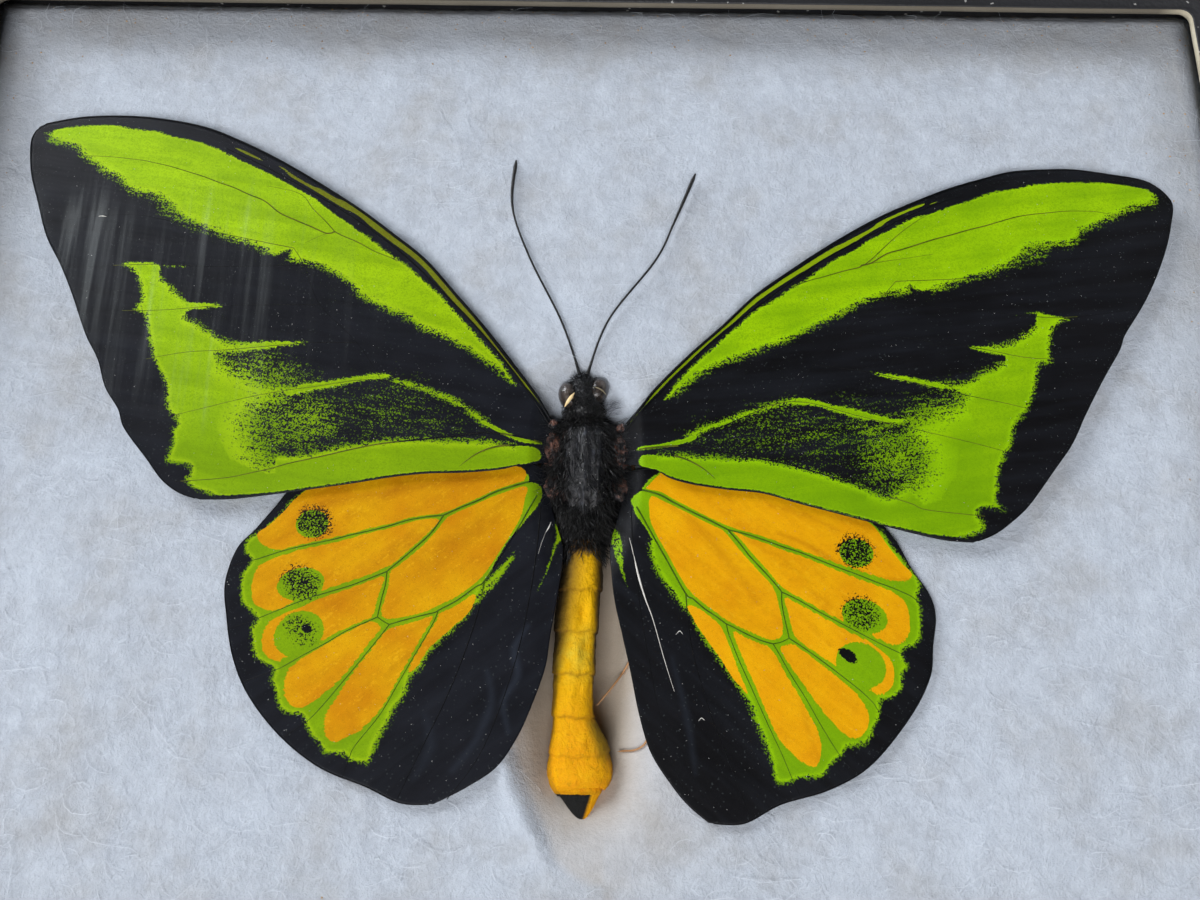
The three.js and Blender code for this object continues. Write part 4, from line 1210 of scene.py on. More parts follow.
VEINS["hindwing_right"] = [
    ((0.2, 0.16), [(7.6, -8.6), (8.5, -8.7), (10.5, -9.3), (12.5, -10.4), (15, -11.7), (17.5, -12.9), (20, -14.2)]),
    ((0.15, 0.1), [
        (20, -14.2), (22.5, -14.8), (25, -15.6), (27.5, -16.5), (30, -17.3), (32.5, -18.3), (35, -19.3),
        (37.5, -20.2), (40, -21.2), (42.5, -22.1), (45, -23.2), (46, -24), (48, -25),
    ]),
    ((0.16, 0.13), [(20, -14.2), (21.5, -16), (23, -18), (25, -20.2), (26.8, -22.3), (27.2, -22.9)]),
    ((0.13, 0.08), [
        (27.2, -22.9), (29.5, -24), (32.5, -25.7), (35, -27), (37.5, -28.3), (40, -29.6), (42.5, -30.8),
        (43.8, -31.3), (47, -32),
    ]),
    ((0.13, 0.12), [(27.2, -22.9), (27.2, -24.5), (27.5, -26.5), (27.9, -28.5), (28, -29.2)]),
    ((0.12, 0.08), [
        (28, -29.2), (30, -30.5), (32.5, -32.3), (35, -34.2), (37.5, -36.2), (39, -37.7), (39.9, -38.9),
        (43, -40.2),
    ]),
    ((0.11, 0.11), [(28, -29.2), (27, -29.7), (25.8, -30)]),
    ((0.12, 0.13), [(25.8, -30), (24, -29.5), (22, -28.6), (20, -27.6), (19.5, -27.4)]),
    ((0.13, 0.18), [
        (19.5, -27.4), (18, -26.3), (16.5, -25.3), (15, -24), (14, -23.3), (11.6, -19), (9.6, -15.4), (7.2, -11),
    ]),
    ((0.12, 0.08), [(25.8, -30), (26.5, -31.2), (28, -34), (30, -37.3), (32, -41), (34.2, -44.6), (36, -46.6)]),
    ((0.12, 0.08), [
        (19.5, -27.4), (19.8, -28.8), (21, -32), (22.3, -35), (23.6, -38), (25, -41.2), (26.5, -44.5),
        (27.7, -47.5), (28.6, -49.6),
    ]),
    ((0.14, 0.08), [(14, -23.3), (14.6, -30), (17, -39), (20, -47), (22, -52.4)]),
    ((0.14, 0.07), [(6.4, -11), (7, -20), (8.8, -32), (11.4, -44), (14.6, -51)]),
]


# ---------------------------------------------------------------- Wings: shape and markings


def wing_lift(name, x, y):
    """Height of a wing's middle: nearly flat under the glass, pleated outwards from the root, drooping at it."""
    top = FOREWING_TOP if name.startswith("forewing") else HINDWING_TOP
    side = -1.0 if name.endswith("left") else 1.0
    out_x, out_y = side * x - 3, y + (2 if top == FOREWING_TOP else 10)
    reach, angle = np.hypot(out_x, out_y), np.arctan2(out_y, out_x)
    droop = ROOT_DROOP * (1 - ease(4.6, 8.5, np.hypot(x, 0.4 * (y + 4))))
    pleats = 0.055 * np.cos(angle * (26 if top == FOREWING_TOP else 15)) * ease(6, 30, reach)
    sway = 0.05 * np.sin(x / 8.3 + 1.2 * side) * np.cos(y / 6.7)
    return top - WING_THICKNESS / 2 - droop + pleats + sway


def patch_edge(stretches, steps=3):
    """A patch's closed edge, rounded through its points, with how far the scales thin out at each."""
    points = [p for _, line in stretches for p in line]
    soft = np.repeat([s for s, _ in stretches], [len(line) for _, line in stretches])
    curve = smooth_line(points, steps, closed=True)
    return curve, np.repeat(soft, steps)


def inside_by(x, y, edge):
    """Distance to a closed edge, positive inside it, and the number of the nearest stretch."""
    near = np.full(x.shape, np.inf)
    which = np.zeros(x.shape, dtype=int)
    inside = np.zeros(x.shape, dtype=bool)
    for k, (a, b) in enumerate(zip(edge, np.roll(edge, -1, axis=0))):
        step = b - a
        share = np.clip(((x - a[0]) * step[0] + (y - a[1]) * step[1]) / max(step @ step, 1e-12), 0, 1)
        gap = (x - a[0] - share * step[0]) ** 2 + (y - a[1] - share * step[1]) ** 2
        closer = gap < near
        near[closer], which[closer] = gap[closer], k
        crosses = (a[1] > y) != (b[1] > y)
        with np.errstate(divide="ignore", invalid="ignore"):
            inside ^= crosses & (x < a[0] + (y - a[1]) * step[0] / step[1])
    return np.where(inside, 1, -1) * np.sqrt(near), which


def patch_cover(x, y, patch):
    """How much a patch covers each place, from 0 outside it to its own amount."""
    amount, stretches = patch
    edge, soft = patch_edge(stretches)
    depth, which = inside_by(x, y, edge)
    reach = np.where(soft > 0.55, 2 * soft, soft)[which]
    return amount * ease(-0.5, 0.5, depth / reach)


def ribbon_cover(x, y, ribbon):
    """How much a ribbon of changing width covers each place."""
    amount, soft, widths, line = ribbon
    line = smooth_line(line, 3)
    spread = evenly(widths, len(line))
    cover = np.full(x.shape, -np.inf)
    for a, b, wide, next_wide in zip(line[:-1], line[1:], spread[:-1], spread[1:]):
        step = b - a
        share = np.clip(((x - a[0]) * step[0] + (y - a[1]) * step[1]) / (step @ step), 0, 1)
        gap = np.hypot(x - a[0] - share * step[0], y - a[1] - share * step[1])
        cover = np.maximum(cover, wide + share * (next_wide - wide) - gap)
    return amount * ease(-0.5, 0.5, cover / soft)


def oval_cover(x, y, centre, halves, tilt, soft):
    """How much a tilted oval covers each place, fading over soft millimetres at its edge."""
    dx, dy = x - centre[0], y - centre[1]
    along_x = dx * math.cos(tilt) + dy * math.sin(tilt)
    along_y = dy * math.cos(tilt) - dx * math.sin(tilt)
    inside = (1 - np.hypot(along_x / halves[0], along_y / halves[1])) * min(halves)
    return ease(-0.5, 0.5, inside / soft)


def wing_marks(name, x, y):
    """Green, gold, pupil, streak and fold cover at each point, from 0 to 1. The fold cover carries painted shade on
    the gold and painted sheen on the black.
    """

    def most(*covers):
        return np.maximum.reduce([np.zeros(x.shape), *covers])

    def ribbons(kind):
        return [ribbon_cover(x, y, ribbon) for ribbon in kind.get(name, [])]

    green = most(*(patch_cover(x, y, patch) for patch in GREEN_PATCHES[name]), *ribbons(GREEN_RIBBONS))
    gold = most(*(patch_cover(x, y, (1.0, [(0.3, cell)])) for cell in GOLD_CELLS.get(name, [])))
    for centre, halves, tilt in SPOTS.get(name, []):
        gold = gold * (1 - oval_cover(x, y, centre, halves, tilt, 0.4))
    pupils = most(*(
        amount * oval_cover(x, y, centre, halves, -0.6, 0.9 * halves[1])
        for centre, halves, amount in PUPILS.get(name, [])
    ))
    streak, fold = most(*ribbons(STREAK_RIBBONS)), most(*ribbons(FOLD_SHADE_AND_SHEEN))
    return {"green": green, "gold": gold, "pupil": pupils, "streak": streak, "fold": fold}


def wing_grid(name, spans, strips):
    """Places of a wing's points between its four edges, as in the part's source."""
    outline = WING_OUTLINES[name]
    u, v = np.linspace(0, 1, spans + 1)[:, None, None], np.linspace(0, 1, strips + 1)[None, :, None]
    lead, trail = (along(outline[k], u[:, 0, 0])[:, None] for k in ("leading", "trailing"))
    inner, outer = (along(outline[k], v[0, :, 0])[None] for k in ("root", "margin"))
    corner = {(k, end): np.array(outline[k][end], dtype=float) for k in ("leading", "trailing") for end in (0, -1)}
    place = lead * (1 - v) + trail * v + inner * (1 - u) + outer * u
    place = place - corner["leading", 0] * (1 - u) * (1 - v) - corner["leading", -1] * u * (1 - v)
    return place - corner["trailing", 0] * (1 - u) * v - corner["trailing", -1] * u * v


def two_sided(place, top, bottom):
    """A closed sheet from a grid of places with heights above and below."""
    rows, columns = top.shape
    flat = place.reshape(-1, 2)
    points = np.vstack([np.column_stack([flat, top.ravel()]), np.column_stack([flat, bottom.ravel()])])
    count = rows * columns
    faces = bands(rows, columns, wrap=False)
    faces += [tuple(count + k for k in face[::-1]) for face in faces]
    border = [(r, 0) for r in range(rows)] + [(rows - 1, c) for c in range(1, columns)]
    border += [(r, columns - 1) for r in range(rows - 2, -1, -1)] + [(0, c) for c in range(columns - 2, 0, -1)]
    ring = [r * columns + c for r, c in border]
    for a, b in zip(ring, ring[1:] + ring[:1]):
        faces.append((a, b, count + b, count + a))
    first = points[list(faces[0])]
    if np.cross(first[1] - first[0], first[2] - first[0])[2] < 0:
        faces = [face[::-1] for face in faces]
    return points, faces


def wing_finish(name, greens, golds, ground, stripes, rays):
    """Scales over a black membrane: green powder that thins out in combs along the rays, and gold cells, with painted
    blue-grey sheen on the black and painted shade along folds on the gold.
    """
    wing = Finish(name)
    scales = wing.speckle(0.17)
    clumps = wing.noise(0.4, 1)
    ribs = wing.noise(0.5, 1, 0.6, wing.stretched(0.13, 1, 1, rays))
    streaks = wing.noise(2.2, 2, 0.6, wing.stretched(0.12, 1, 1, rays))
    clouds = wing.noise(7, 2)
    tone = wing.noise(1.3, 2, 0.65)
    threshold = scales * 0.84 + clumps * 0.16
    green = wing.mark("green")
    fading = green * (1 - green) * 4
    combed = green + (ribs - 0.5) * fading * 0.9
    green_scales = (combed * 1.3 - 0.12 - threshold).ramp(-0.1, 0.16)
    gold = wing.mark("gold")
    gold_scales = (gold * 1.5 - 0.25 - threshold * 0.4 - ribs * 0.3).ramp(-0.04, 0.1)
    bare = (wing.mark("pupil") * 1.15 - 0.03 - threshold).ramp(-0.05, 0.15)
    streak = (wing.mark("streak") + (clumps - 0.5) * 0.3) > 0.5
    fold = wing.mark("fold")
    combs_and_sheen = streaks.ramp(0.4, 0.75)

    dusk = wing.mix(clouds.ramp(0.3, 0.7), ground[0], ground[1])
    # Painted sheen: blue-grey streaks along the rays over the black
    dusk = wing.mix(combs_and_sheen * 0.3, dusk, "262a32")
    # Painted sheen: blue-grey along the folds over the black
    dusk = wing.mix(fold * 0.5, dusk, "343b47")
    dusk = wing.mix((scales > 0.985) * 0.5, dusk, "3a3f40")
    leaf = wing.mix(clouds.ramp(0.3, 0.7), greens[0], greens[1])
    leaf = wing.mix(wing.axes()[1].ramp(16, -6) * 0.55, leaf, greens[2])
    leaf = wing.mix(combs_and_sheen * 0.5, leaf, greens[2])
    leaf = wing.mix((scales * 0.6 + tone * 0.4).ramp(0.45, 0.85) * 0.5, leaf, greens[2])
    leaf = wing.mix((1 - (green - 0.8).size() * 4).most(0) * 0.5, leaf, greens[3])
    leaf = wing.mix((0.62 - green).ramp(0, 0.4) * 0.6, leaf, "41620a")
    amber = wing.mix(clouds.ramp(0.3, 0.7), golds[0], golds[1])
    amber = wing.mix(combs_and_sheen * tone.ramp(0.3, 0.6) * 0.5, amber, golds[2])
    amber = wing.mix((scales > 0.9) * 0.25, amber, golds[2])
    # Painted shade: darker orange along the folds over the gold
    amber = wing.mix(fold * 0.55, amber, "a86200")
    amber = wing.mix((clumps * 0.5 + ribs * 0.5).ramp(0.56, 0.66) * 0.3, amber, "f8c21c")
    colour = wing.mix(green_scales, dusk, leaf)
    colour = wing.mix(streak * 0.85, colour, wing.mix(scales * 0.6 + streaks * 0.4, *stripes))
    colour = wing.mix(gold_scales, colour, amber)
    colour = wing.mix(bare, colour, ground[0])
    powdered = green_scales.most(gold_scales)
    wing.wear(
        base_color=colour,
        roughness=powdered * 0.08 + scales * 0.08 + 0.42,
        metallic=powdered * 0.2,
        normal=wing.bump(streaks, 0.1),
        specular_ior_level=0.12,
    )
    return wing


def vein_finish(name, dark, light):
    """The raised veins and borders of the wings."""
    vein = Finish(name)
    tone = vein.noise(1.6, 3)
    vein.wear(
        base_color=vein.mix(tone.ramp(0.3, 0.7), dark, light),
        roughness=tone * 0.2 + 0.38,
        normal=vein.bump(vein.noise(0.2, 2), 0.02),
        specular_ior_level=0.12,
    )
    return vein


GREENS_LEFT = ("92ba00", "a4cc00", "5a8000", "b2d410")
GREENS_RIGHT = ("8ebc00", "a6d200", "5e8c00", "a8de00")
GOLDS_LEFT = ("cf8700", "e0a600", "ac6c00")
GOLDS_RIGHT = ("e89f00", "f2b200", "c88200")
# The left wings' black is painted lighter and bluer than the right wings' black, as a painted reflection of the
# bright room in the glass
BLACK_WITH_PAINTED_REFLECTION = ("0f1015", "17181e")
DEEP_BLACK = ("0a0a0c", "101013")
OLIVE_STREAK = ("6a6212", "7d9008")
LIME_STREAK = ("7f9a04", "98b400")
WING_PAINTS = {
    "forewing_left": (GREENS_LEFT, GOLDS_LEFT, BLACK_WITH_PAINTED_REFLECTION, OLIVE_STREAK, -0.16),
    "forewing_right": (GREENS_RIGHT, GOLDS_RIGHT, DEEP_BLACK, LIME_STREAK, 0.12),
    "hindwing_left": (GREENS_LEFT, GOLDS_LEFT, BLACK_WITH_PAINTED_REFLECTION, OLIVE_STREAK, 0.66),
    "hindwing_right": (GREENS_RIGHT, GOLDS_RIGHT, DEEP_BLACK, OLIVE_STREAK, -0.72),
}
wing_finishes = {name: wing_finish(name + "_scales", *paint) for name, paint in WING_PAINTS.items()}
vein_black = vein_finish("vein_black", "08080a", "0f1013")
vein_olive = vein_finish("vein_olive", "2c4206", "4c6a0c")
vein_brown = vein_finish("vein_brown", "3c4a0c", "66661a")
WING_GRIDS = {"forewing": (270, 136), "hindwing": (170, 168)}

wing_pieces = {}
for wing_name in WING_OUTLINES:
    spans, strips = WING_GRIDS[wing_name.split("_")[0]]
    place = wing_grid(wing_name, spans, strips)
    lift = wing_lift(wing_name, place[..., 0], place[..., 1])
    marks = wing_marks(wing_name, place[..., 0], place[..., 1])
    edge_taper = np.ones(lift.shape)
    edge_taper[[0, -1], :] = edge_taper[:, [0, -1]] = 0.4
    half = MEMBRANE / 2 * edge_taper
    wing_points, wing_faces = two_sided(place, lift + half, lift - half)
    forewing = wing_name.startswith("forewing")
    slot = "forewing_green" if forewing else "hindwing_gold"
    wing_pieces[wing_name] = piece(
        wing_name + "_membrane",
        wing_points,
        wing_faces,
        [wing_finishes[wing_name]],
        marks={key: np.tile(value.ravel(), 2) for key, value in marks.items()},
        replaces=[wing_name],
        slot=slot,
    )
    vein_lines = {vein_black: [], vein_olive: [], vein_brown: []}
    for widths, line in VEINS[wing_name]:
        run = smooth_line(line, 5)
        run_marks = wing_marks(wing_name, run[:, 0], run[:, 1])
        bright = np.maximum(run_marks["green"], run_marks["gold"]) > 0.6
        spread = evenly(widths, len(run))
        on_colour = vein_brown if forewing else vein_olive
        cuts = [0, *(np.flatnonzero(np.diff(bright.astype(int))) + 1), len(run)]
        for first, last in zip(cuts[:-1], cuts[1:]):
            stretch = slice(first, min(last + 1, len(run)))
            if len(run[stretch]) > 1:
                height = wing_lift(wing_name, run[stretch, 0], run[stretch, 1]) + VEIN_RISE
                path = np.column_stack([run[stretch], height])
                vein_lines[on_colour if bright[first] else vein_black].append((path, spread[stretch] * VEIN_SHARE))
    border = np.vstack([
        along(WING_OUTLINES[wing_name][k], np.linspace(0, 1, 90))[1:-1] for k in ("leading", "margin")
    ])
    border_lift = wing_lift(wing_name, border[:, 0], border[:, 1])
    rib = 0.26 if forewing else 0.16
    edge_line = (np.column_stack([border, border_lift]), (rib, rib, rib * 0.6, 0.1, 0.09, 0.09))
    for finish, lines in vein_lines.items():
        if lines:
            drawn(wing_name + finish.material.name.replace("vein", "_veins"), lines, finish)
    drawn(wing_name + "_border", [edge_line], vein_black)


# ---------------------------------------------------------------- Batting with the hollow for the body


def wing_clearance(x, y):
    """Distance outside the nearest wing, negative over a wing."""
    nearest = np.full(x.shape, np.inf)
    for outline in WING_OUTLINES.values():
        trailing = outline["trailing"][::-1]
        loop = outline["leading"] + outline["margin"][1:] + trailing[1:] + outline["root"][-2:0:-1]
        loop = np.array(loop, dtype=float)
        depth, _ = inside_by(x, y, loop)
        nearest = np.minimum(nearest, -depth)
    return nearest


def hollow_share(x, y):
    """How deep in the hollow a place is, from 0 at its lip to 1 along the middle."""
    return 1 - np.sqrt(((x + 0.3) / 12.5) ** 2 + ((y + 23) / 36) ** 4)


FOLD = [(-11, -40), (-9.5, -43), (-8.4, -46.5), (-6.4, -51), (-4.4, -55), (-2.6, -58.5)]
PIT_EDGE = [
    (0.9, FOLD),
    (8.0, [(3, -61), (9, -58), (13, -52), (13, -46)]),
    (5.0, [(11, -36), (9, -24), (8, -12), (0, -6), (-8, -12), (-9, -24), (-11, -34)]),
]


PILE_RISE = 0.75
HOLLOW_DEPTH = 7.9


def batting_height(x, y):
    """Height of the batting before its tufts: it rises clear of the wings and sinks into the hollow."""
    base = BATTING_TOP - 0.1 + PILE_RISE * ease(1.5, 22, wing_clearance(x, y))
    return base - HOLLOW_DEPTH * ease(0.0, 0.92, hollow_share(x, y))


def batting_finish():
    """Bluish white wadding: cloudy and fluffy, with a tan tint and painted shade in the hollow and a painted lid
    shadow by the window's edge.
    """
    wool = Finish("batting_wool")
    clouds = wool.noise(12, 3, 0.6)
    tufts = wool.noise(2.2, 4, 0.75)
    fluff = wool.noise(0.7, 3, 0.8)
    pit = wool.mark("hollow")
    colour = wool.mix(clouds.ramp(0.32, 0.68), "aeb3bb", "bcc4cf")
    colour = wool.mix(tufts.ramp(0.4, 0.66) * 0.5, colour, "d0d8e2")
    colour = wool.mix(fluff.ramp(0.5, 0.75) * 0.35, colour, "d8dee6")
    colour = wool.mix((1 - clouds).ramp(0.5, 0.75) * 0.3, colour, "b0aca4")
    # Tan tint and painted shade in the hollow
    colour = wool.mix(pit * 0.85, colour, "b7a68e")
    # Painted shadow of the lid, darker near the window's edge
    colour = wool.mix((wool.mark("rim") * (tufts + 0.5)).least(1.0) * 0.42, colour, "85827e")
    wool.wear(
        base_color=colour,
        roughness=fluff * 0.1 + 0.88,
        normal=wool.bump(fluff * (1 - pit * 0.75), 0.35, 0.8),
        specular_ior_level=0.1,
    )
    return wool


batting_width, batting_depth = tray_inner[0] - 1, tray_inner[1] - 1
grid_x, grid_y = np.meshgrid(
    np.linspace(-batting_width / 2, batting_width / 2, 260),
    np.linspace(-batting_depth / 2, batting_depth / 2, 196),
    indexing="ij",
)
to_side = np.minimum(batting_width / 2 - np.abs(grid_x), batting_depth / 2 - np.abs(grid_y))
flat_points = np.column_stack([grid_x.ravel(), grid_y.ravel(), np.zeros(grid_x.size)])
pit_mark = patch_cover(grid_x, grid_y, (1.0, PIT_EDGE))
tufted = 0.22 * lumps(flat_points, 9, 3.1, 4) + 0.12 * lumps(flat_points, 1.6, 8.3, 2)
# The hollow's tan tint and painted shade grow towards its middle
hollow_tan_and_shade = pit_mark * (0.42 + 0.58 * ease(0.05, 0.6, hollow_share(grid_x, grid_y)))
fold = 0.8 * ribbon_cover(grid_x, grid_y, (1.0, 2.0, (0.2, 1.0, 1.0, 0.2), [(x - 1.6, y - 0.6) for x, y in FOLD]))
batting_top = batting_height(grid_x, grid_y) + tufted.reshape(grid_x.shape) * (1 - 0.7 * pit_mark) + fold
batting_top -= 2.2 * (1 - ease(0, 3, to_side))
batting_points, batting_faces = two_sided(
    np.stack([grid_x, grid_y], axis=-1), batting_top, np.full(grid_x.shape, TRAY_FLOOR + 0.05)
)
edge_gap = np.minimum(WINDOW[0] / 2 - np.abs(grid_x), WINDOW[1] / 2 - np.abs(grid_y))
open_mark = ease(-1.5, 0.5, wing_clearance(grid_x, grid_y)) * ease(-3, -1, edge_gap) * (1 - pit_mark) ** 2
batting = piece(
    "batting_pad",
    batting_points,
    batting_faces,
    [batting_finish()],
    marks={
        "hollow": np.tile(hollow_tan_and_shade.ravel(), 2),
        # Nearness to the window's edge: painted lid shadow, and where crumbs gather
        "rim": np.tile(1 - ease(-1, 10, edge_gap).ravel(), 2),
        "open": np.concatenate([open_mark.ravel(), np.zeros(grid_x.size)]),
    },
    replaces=["batting"],
    slot="batting",
)


def strand_finish(name, dark, light, dull=0.5, grain=4, detail=3, depth=0.02, gloss=0.4):
    """Hair, fibre or dust: two close colours in soft patches about grain millimetres wide."""
    strand = Finish(name)
    tone = strand.noise(grain, detail)
    strand.wear(
        base_color=strand.mix(tone.ramp(0.3, 0.7), dark, light),
        roughness=tone * 0.2 + dull,
        normal=strand.bump(tone, depth),
        specular_ior_level=gloss,
    )
    return strand


fibre_white = strand_finish("batting_fibre", "c6cdd6", "e6ebf1")
FIBRES = {
    "curl": ([(-2.4, 0.7, 0.05), (-1.4, -0.2, 0.25), (-0.2, -0.4, 0.32), (1.1, 0.1, 0.25), (2.2, 1.1, 0.05)], 5, 11),
    "hook": ([(-1.6, -0.5, 0.04), (-0.9, 0.2, 0.24), (0.1, 0.5, 0.3), (0.9, 0.1, 0.24), (1.1, -0.7, 0.05)], 5, 12),
    "long": ([(-4.4, 0.3, 0.0), (-2.2, -0.4, 0.3), (0, 0.1, 0.42), (2.2, 0.7, 0.26), (4.3, 0.2, 0.02)], 3, 13),
}
for fibre_name, (line, per_cm2, seed) in FIBRES.items():
    shape = strand_shape(fibre_name + "_fibre", line, (0.01, 0.02, 0.024, 0.02, 0.01))
    sown(
        "batting_fibres_" + fibre_name, batting, shape, fibre_white, per_cm2, seed, (0.5, 1.25),
        stray=0.14, spread="open",
    )
    discard(shape)


# ---------------------------------------------------------------- Body


def body_loft(stations, sides, squareness=2.0):
    """Rings round a line of (x, y, z, half width, half height), closed at both ends."""
    points = []
    line = np.array([row[:3] for row in stations], dtype=float)
    angles = 2 * math.pi * np.arange(sides) / sides
    c, d = (np.sign(v) * np.abs(v) ** (2 / squareness) for v in (np.cos(angles), np.sin(angles)))
    for k, (x, y, z, wide, high) in enumerate(stations):
        way = line[min(k + 1, len(line) - 1)] - line[max(k - 1, 0)]
        across = np.cross((0, 0, 1.0), way)
        across /= np.linalg.norm(across)
        lift = np.cross(way, across)
        lift /= np.linalg.norm(lift)
        points += list(line[k] + wide * c[:, None] * across + high * d[:, None] * lift)
    count = len(stations)
    faces = bands(count, sides)
    start = len(points)
    points += [line[0], line[-1]]
    for side in range(sides):
        after = (side + 1) % sides
        faces.append((start, after, side))
        faces.append((start + 1, (count - 1) * sides + side, (count - 1) * sides + after))
    return np.array(points), faces


def profile(stations, count):
    """Evenly many stations along a coarse profile, rounded through it."""
    return [tuple(row) for row in along(stations, np.linspace(0, 1, count), 12)]


def outwards_of(points, middle):
    """Unit ways from the body's long middle line, (x, z) at each y, to each point."""
    away = np.column_stack([points[:, 0] - middle[0], np.zeros(len(points)), points[:, 2] - middle[1]])
    return away / np.maximum(np.linalg.norm(away, axis=1, keepdims=True), 1e-6)


def chitin_finish(name, patches, patch_amount):
    """Black body wall: long glossy ridges with painted blue-grey highlights, darker and lighter patches, and rusty
    patches beside the wing roots.
    """
    wall = Finish(name)
    x = wall.axes()[0]
    grooves = wall.noise(0.8, 3, 0.6, wall.stretched(1, 0.16, 1))
    pits = wall.noise(0.16, 1)
    tone_and_sheen = wall.noise(1.8, 3, 0.6)
    rusty = ((x.size() - 2.4).ramp(0, 1.6) * wall.noise(1.2, 3).ramp(0.42, 0.6)).least(1.0)
    colour = wall.mix(tone_and_sheen.ramp(0.35, 0.7), "08080b", "131419")
    # Painted highlight: blue-grey along the raised ridges where they catch the light
    colour = wall.mix(grooves.ramp(0.56, 0.66) * tone_and_sheen.ramp(0.45, 0.62) * 0.5, colour, "3d424f")
    colour = wall.mix(rusty * patch_amount, colour, patches)
    wall.wear(
        base_color=colour,
        roughness=grooves * 0.3 + 0.16 + pits * 0.1,
        normal=wall.bump(grooves + pits * 0.2, 0.4),
        specular_ior_level=0.55,
    )
    return wall


chitin = chitin_finish("thorax_wall", "4a2f22", 0.7)
hair_black = strand_finish("body_hair", "070708", "1b1a19", 0.4)
hair_grey = strand_finish("loose_hair", "3a3c42", "6d7078", 0.5)

THORAX = [
    (-0.5, 3.3, 11.4, 0.9, 0.8), (-0.5, 2.7, 11.2, 2.3, 2.1), (-0.4, 1.5, 10.8, 3.4, 3.2),
    (-0.3, -0.6, 10.4, 4.5, 4.1), (-0.2, -3.6, 10.1, 5.1, 4.55), (-0.2, -6.6, 10, 5.05, 4.55),
    (-0.2, -9.2, 10, 4.5, 4.2), (-0.15, -11.4, 10, 3.7, 3.7), (-0.1, -13.2, 10, 3.0, 3.2),
    (-0.1, -14.6, 10, 2.6, 2.8), (-0.1, -15.3, 10, 1.4, 1.6),
]
thorax_points, thorax_faces = body_loft(profile(THORAX, 90), 72)
from_middle = np.abs(thorax_points[:, 0] + 0.25)
upper_side = ease(10.6, 13.4, thorax_points[:, 2])
furrows = np.cos(from_middle / 0.95 * math.pi) * np.exp(-((from_middle / 3.2) ** 2))
plate_step = ease(-10.4, -9.7, thorax_points[:, 1]) * ease(2.4, 1.2, thorax_points[:, 1])
ROUGHNESS = ((2.4, 0.22), (0.8, 0.14), (0.35, 0.06))
rough = sum(depth * lumps(thorax_points, grain, 4 + grain) for grain, depth in ROUGHNESS)
thorax_points = thorax_points + outwards_of(thorax_points, (-0.25, 10)) * rough[:, None]
thorax_points[:, 2] += upper_side * (0.16 * furrows + 0.2 * plate_step)
fur = 0.05 + ease(1.9, 3.6, from_middle) + ease(0.2, 2.4, thorax_points[:, 1]) + ease(-10, -12.5, thorax_points[:, 1])
thorax = piece(
    "thorax_body", thorax_points, thorax_faces, [chitin],
    marks={"fur": np.clip(fur, 0, 1)}, replaces=["thorax"], slot="body_black",
)

HEAD = [
    (-0.7, 9.0, 11.9, 0.6, 0.5), (-0.7, 8.6, 11.9, 1.4, 1.5), (-0.65, 7.8, 11.9, 1.9, 2.1),
    (-0.6, 6.6, 11.8, 2.2, 2.3), (-0.6, 5.2, 11.6, 2.5, 2.4), (-0.5, 3.9, 11.4, 2.5, 2.4),
    (-0.5, 3.0, 11.3, 2.1, 2.0), (-0.5, 2.4, 11.2, 1.0, 1.0),
]
head_points, head_faces = body_loft(profile(HEAD, 40), 44)
rough = sum(depth * lumps(head_points, grain, 9 + grain) for grain, depth in ((1.3, 0.14), (0.4, 0.07)))
head_points = head_points + outwards_of(head_points, (-0.6, 11.7)) * rough[:, None]
head = piece("head_body", head_points, head_faces, [chitin], replaces=["head"], slot="body_black")


def ball(centre, halves, turn=0.0, rings=22, sides=32):
    """A closed rounded knob between two poles."""
    up = math.pi * np.arange(1, rings)[:, None] / rings
    round_it = 2 * math.pi * np.arange(sides)[None] / sides
    x, y = np.sin(up) * np.cos(round_it) * halves[0], np.sin(up) * np.sin(round_it) * halves[1]
    z = np.cos(up) * halves[2] + 0 * x
    points = np.stack([x * math.cos(turn) - y * math.sin(turn), x * math.sin(turn) + y * math.cos(turn), z], axis=-1)
    points = np.vstack([points.reshape(-1, 3), [(0, 0, halves[2]), (0, 0, -halves[2])]]) + centre
    faces = bands(rings - 1, sides, flip=True)
    top, foot, last = len(points) - 2, len(points) - 1, (rings - 2) * sides
    for side in range(sides):
        after = (side + 1) % sides
        faces += [(top, side, after), (foot, last + after, last + side)]
    return points, faces


def eye_finish():
    """A compound eye: brown grey facets under a gloss."""
    eye = Finish("eye_facets")
    facets = eye.cells(0.12)
    tone = eye.noise(1.1, 3)
    eye.wear(
        base_color=eye.mix(tone.ramp(0.35, 0.65), "1d1816", "4a403a"),
        roughness=tone * 0.12 + 0.16,
        normal=eye.bump(1 - facets, 0.03),
        coat_weight=0.5,
        coat_roughness=0.12,
    )
    return eye


eye_facets = eye_finish()
for eye_name, centre, turn in (("eye_left", (-2.75, 6.0, 12.2), 0.3), ("eye_right", (1.5, 6.9, 12.1), -0.45)):
    eye_points, eye_faces = ball(centre, (1.55, 2.1, 1.85), turn)
    piece(eye_name, eye_points, eye_faces, [eye_facets], slot="body_black")

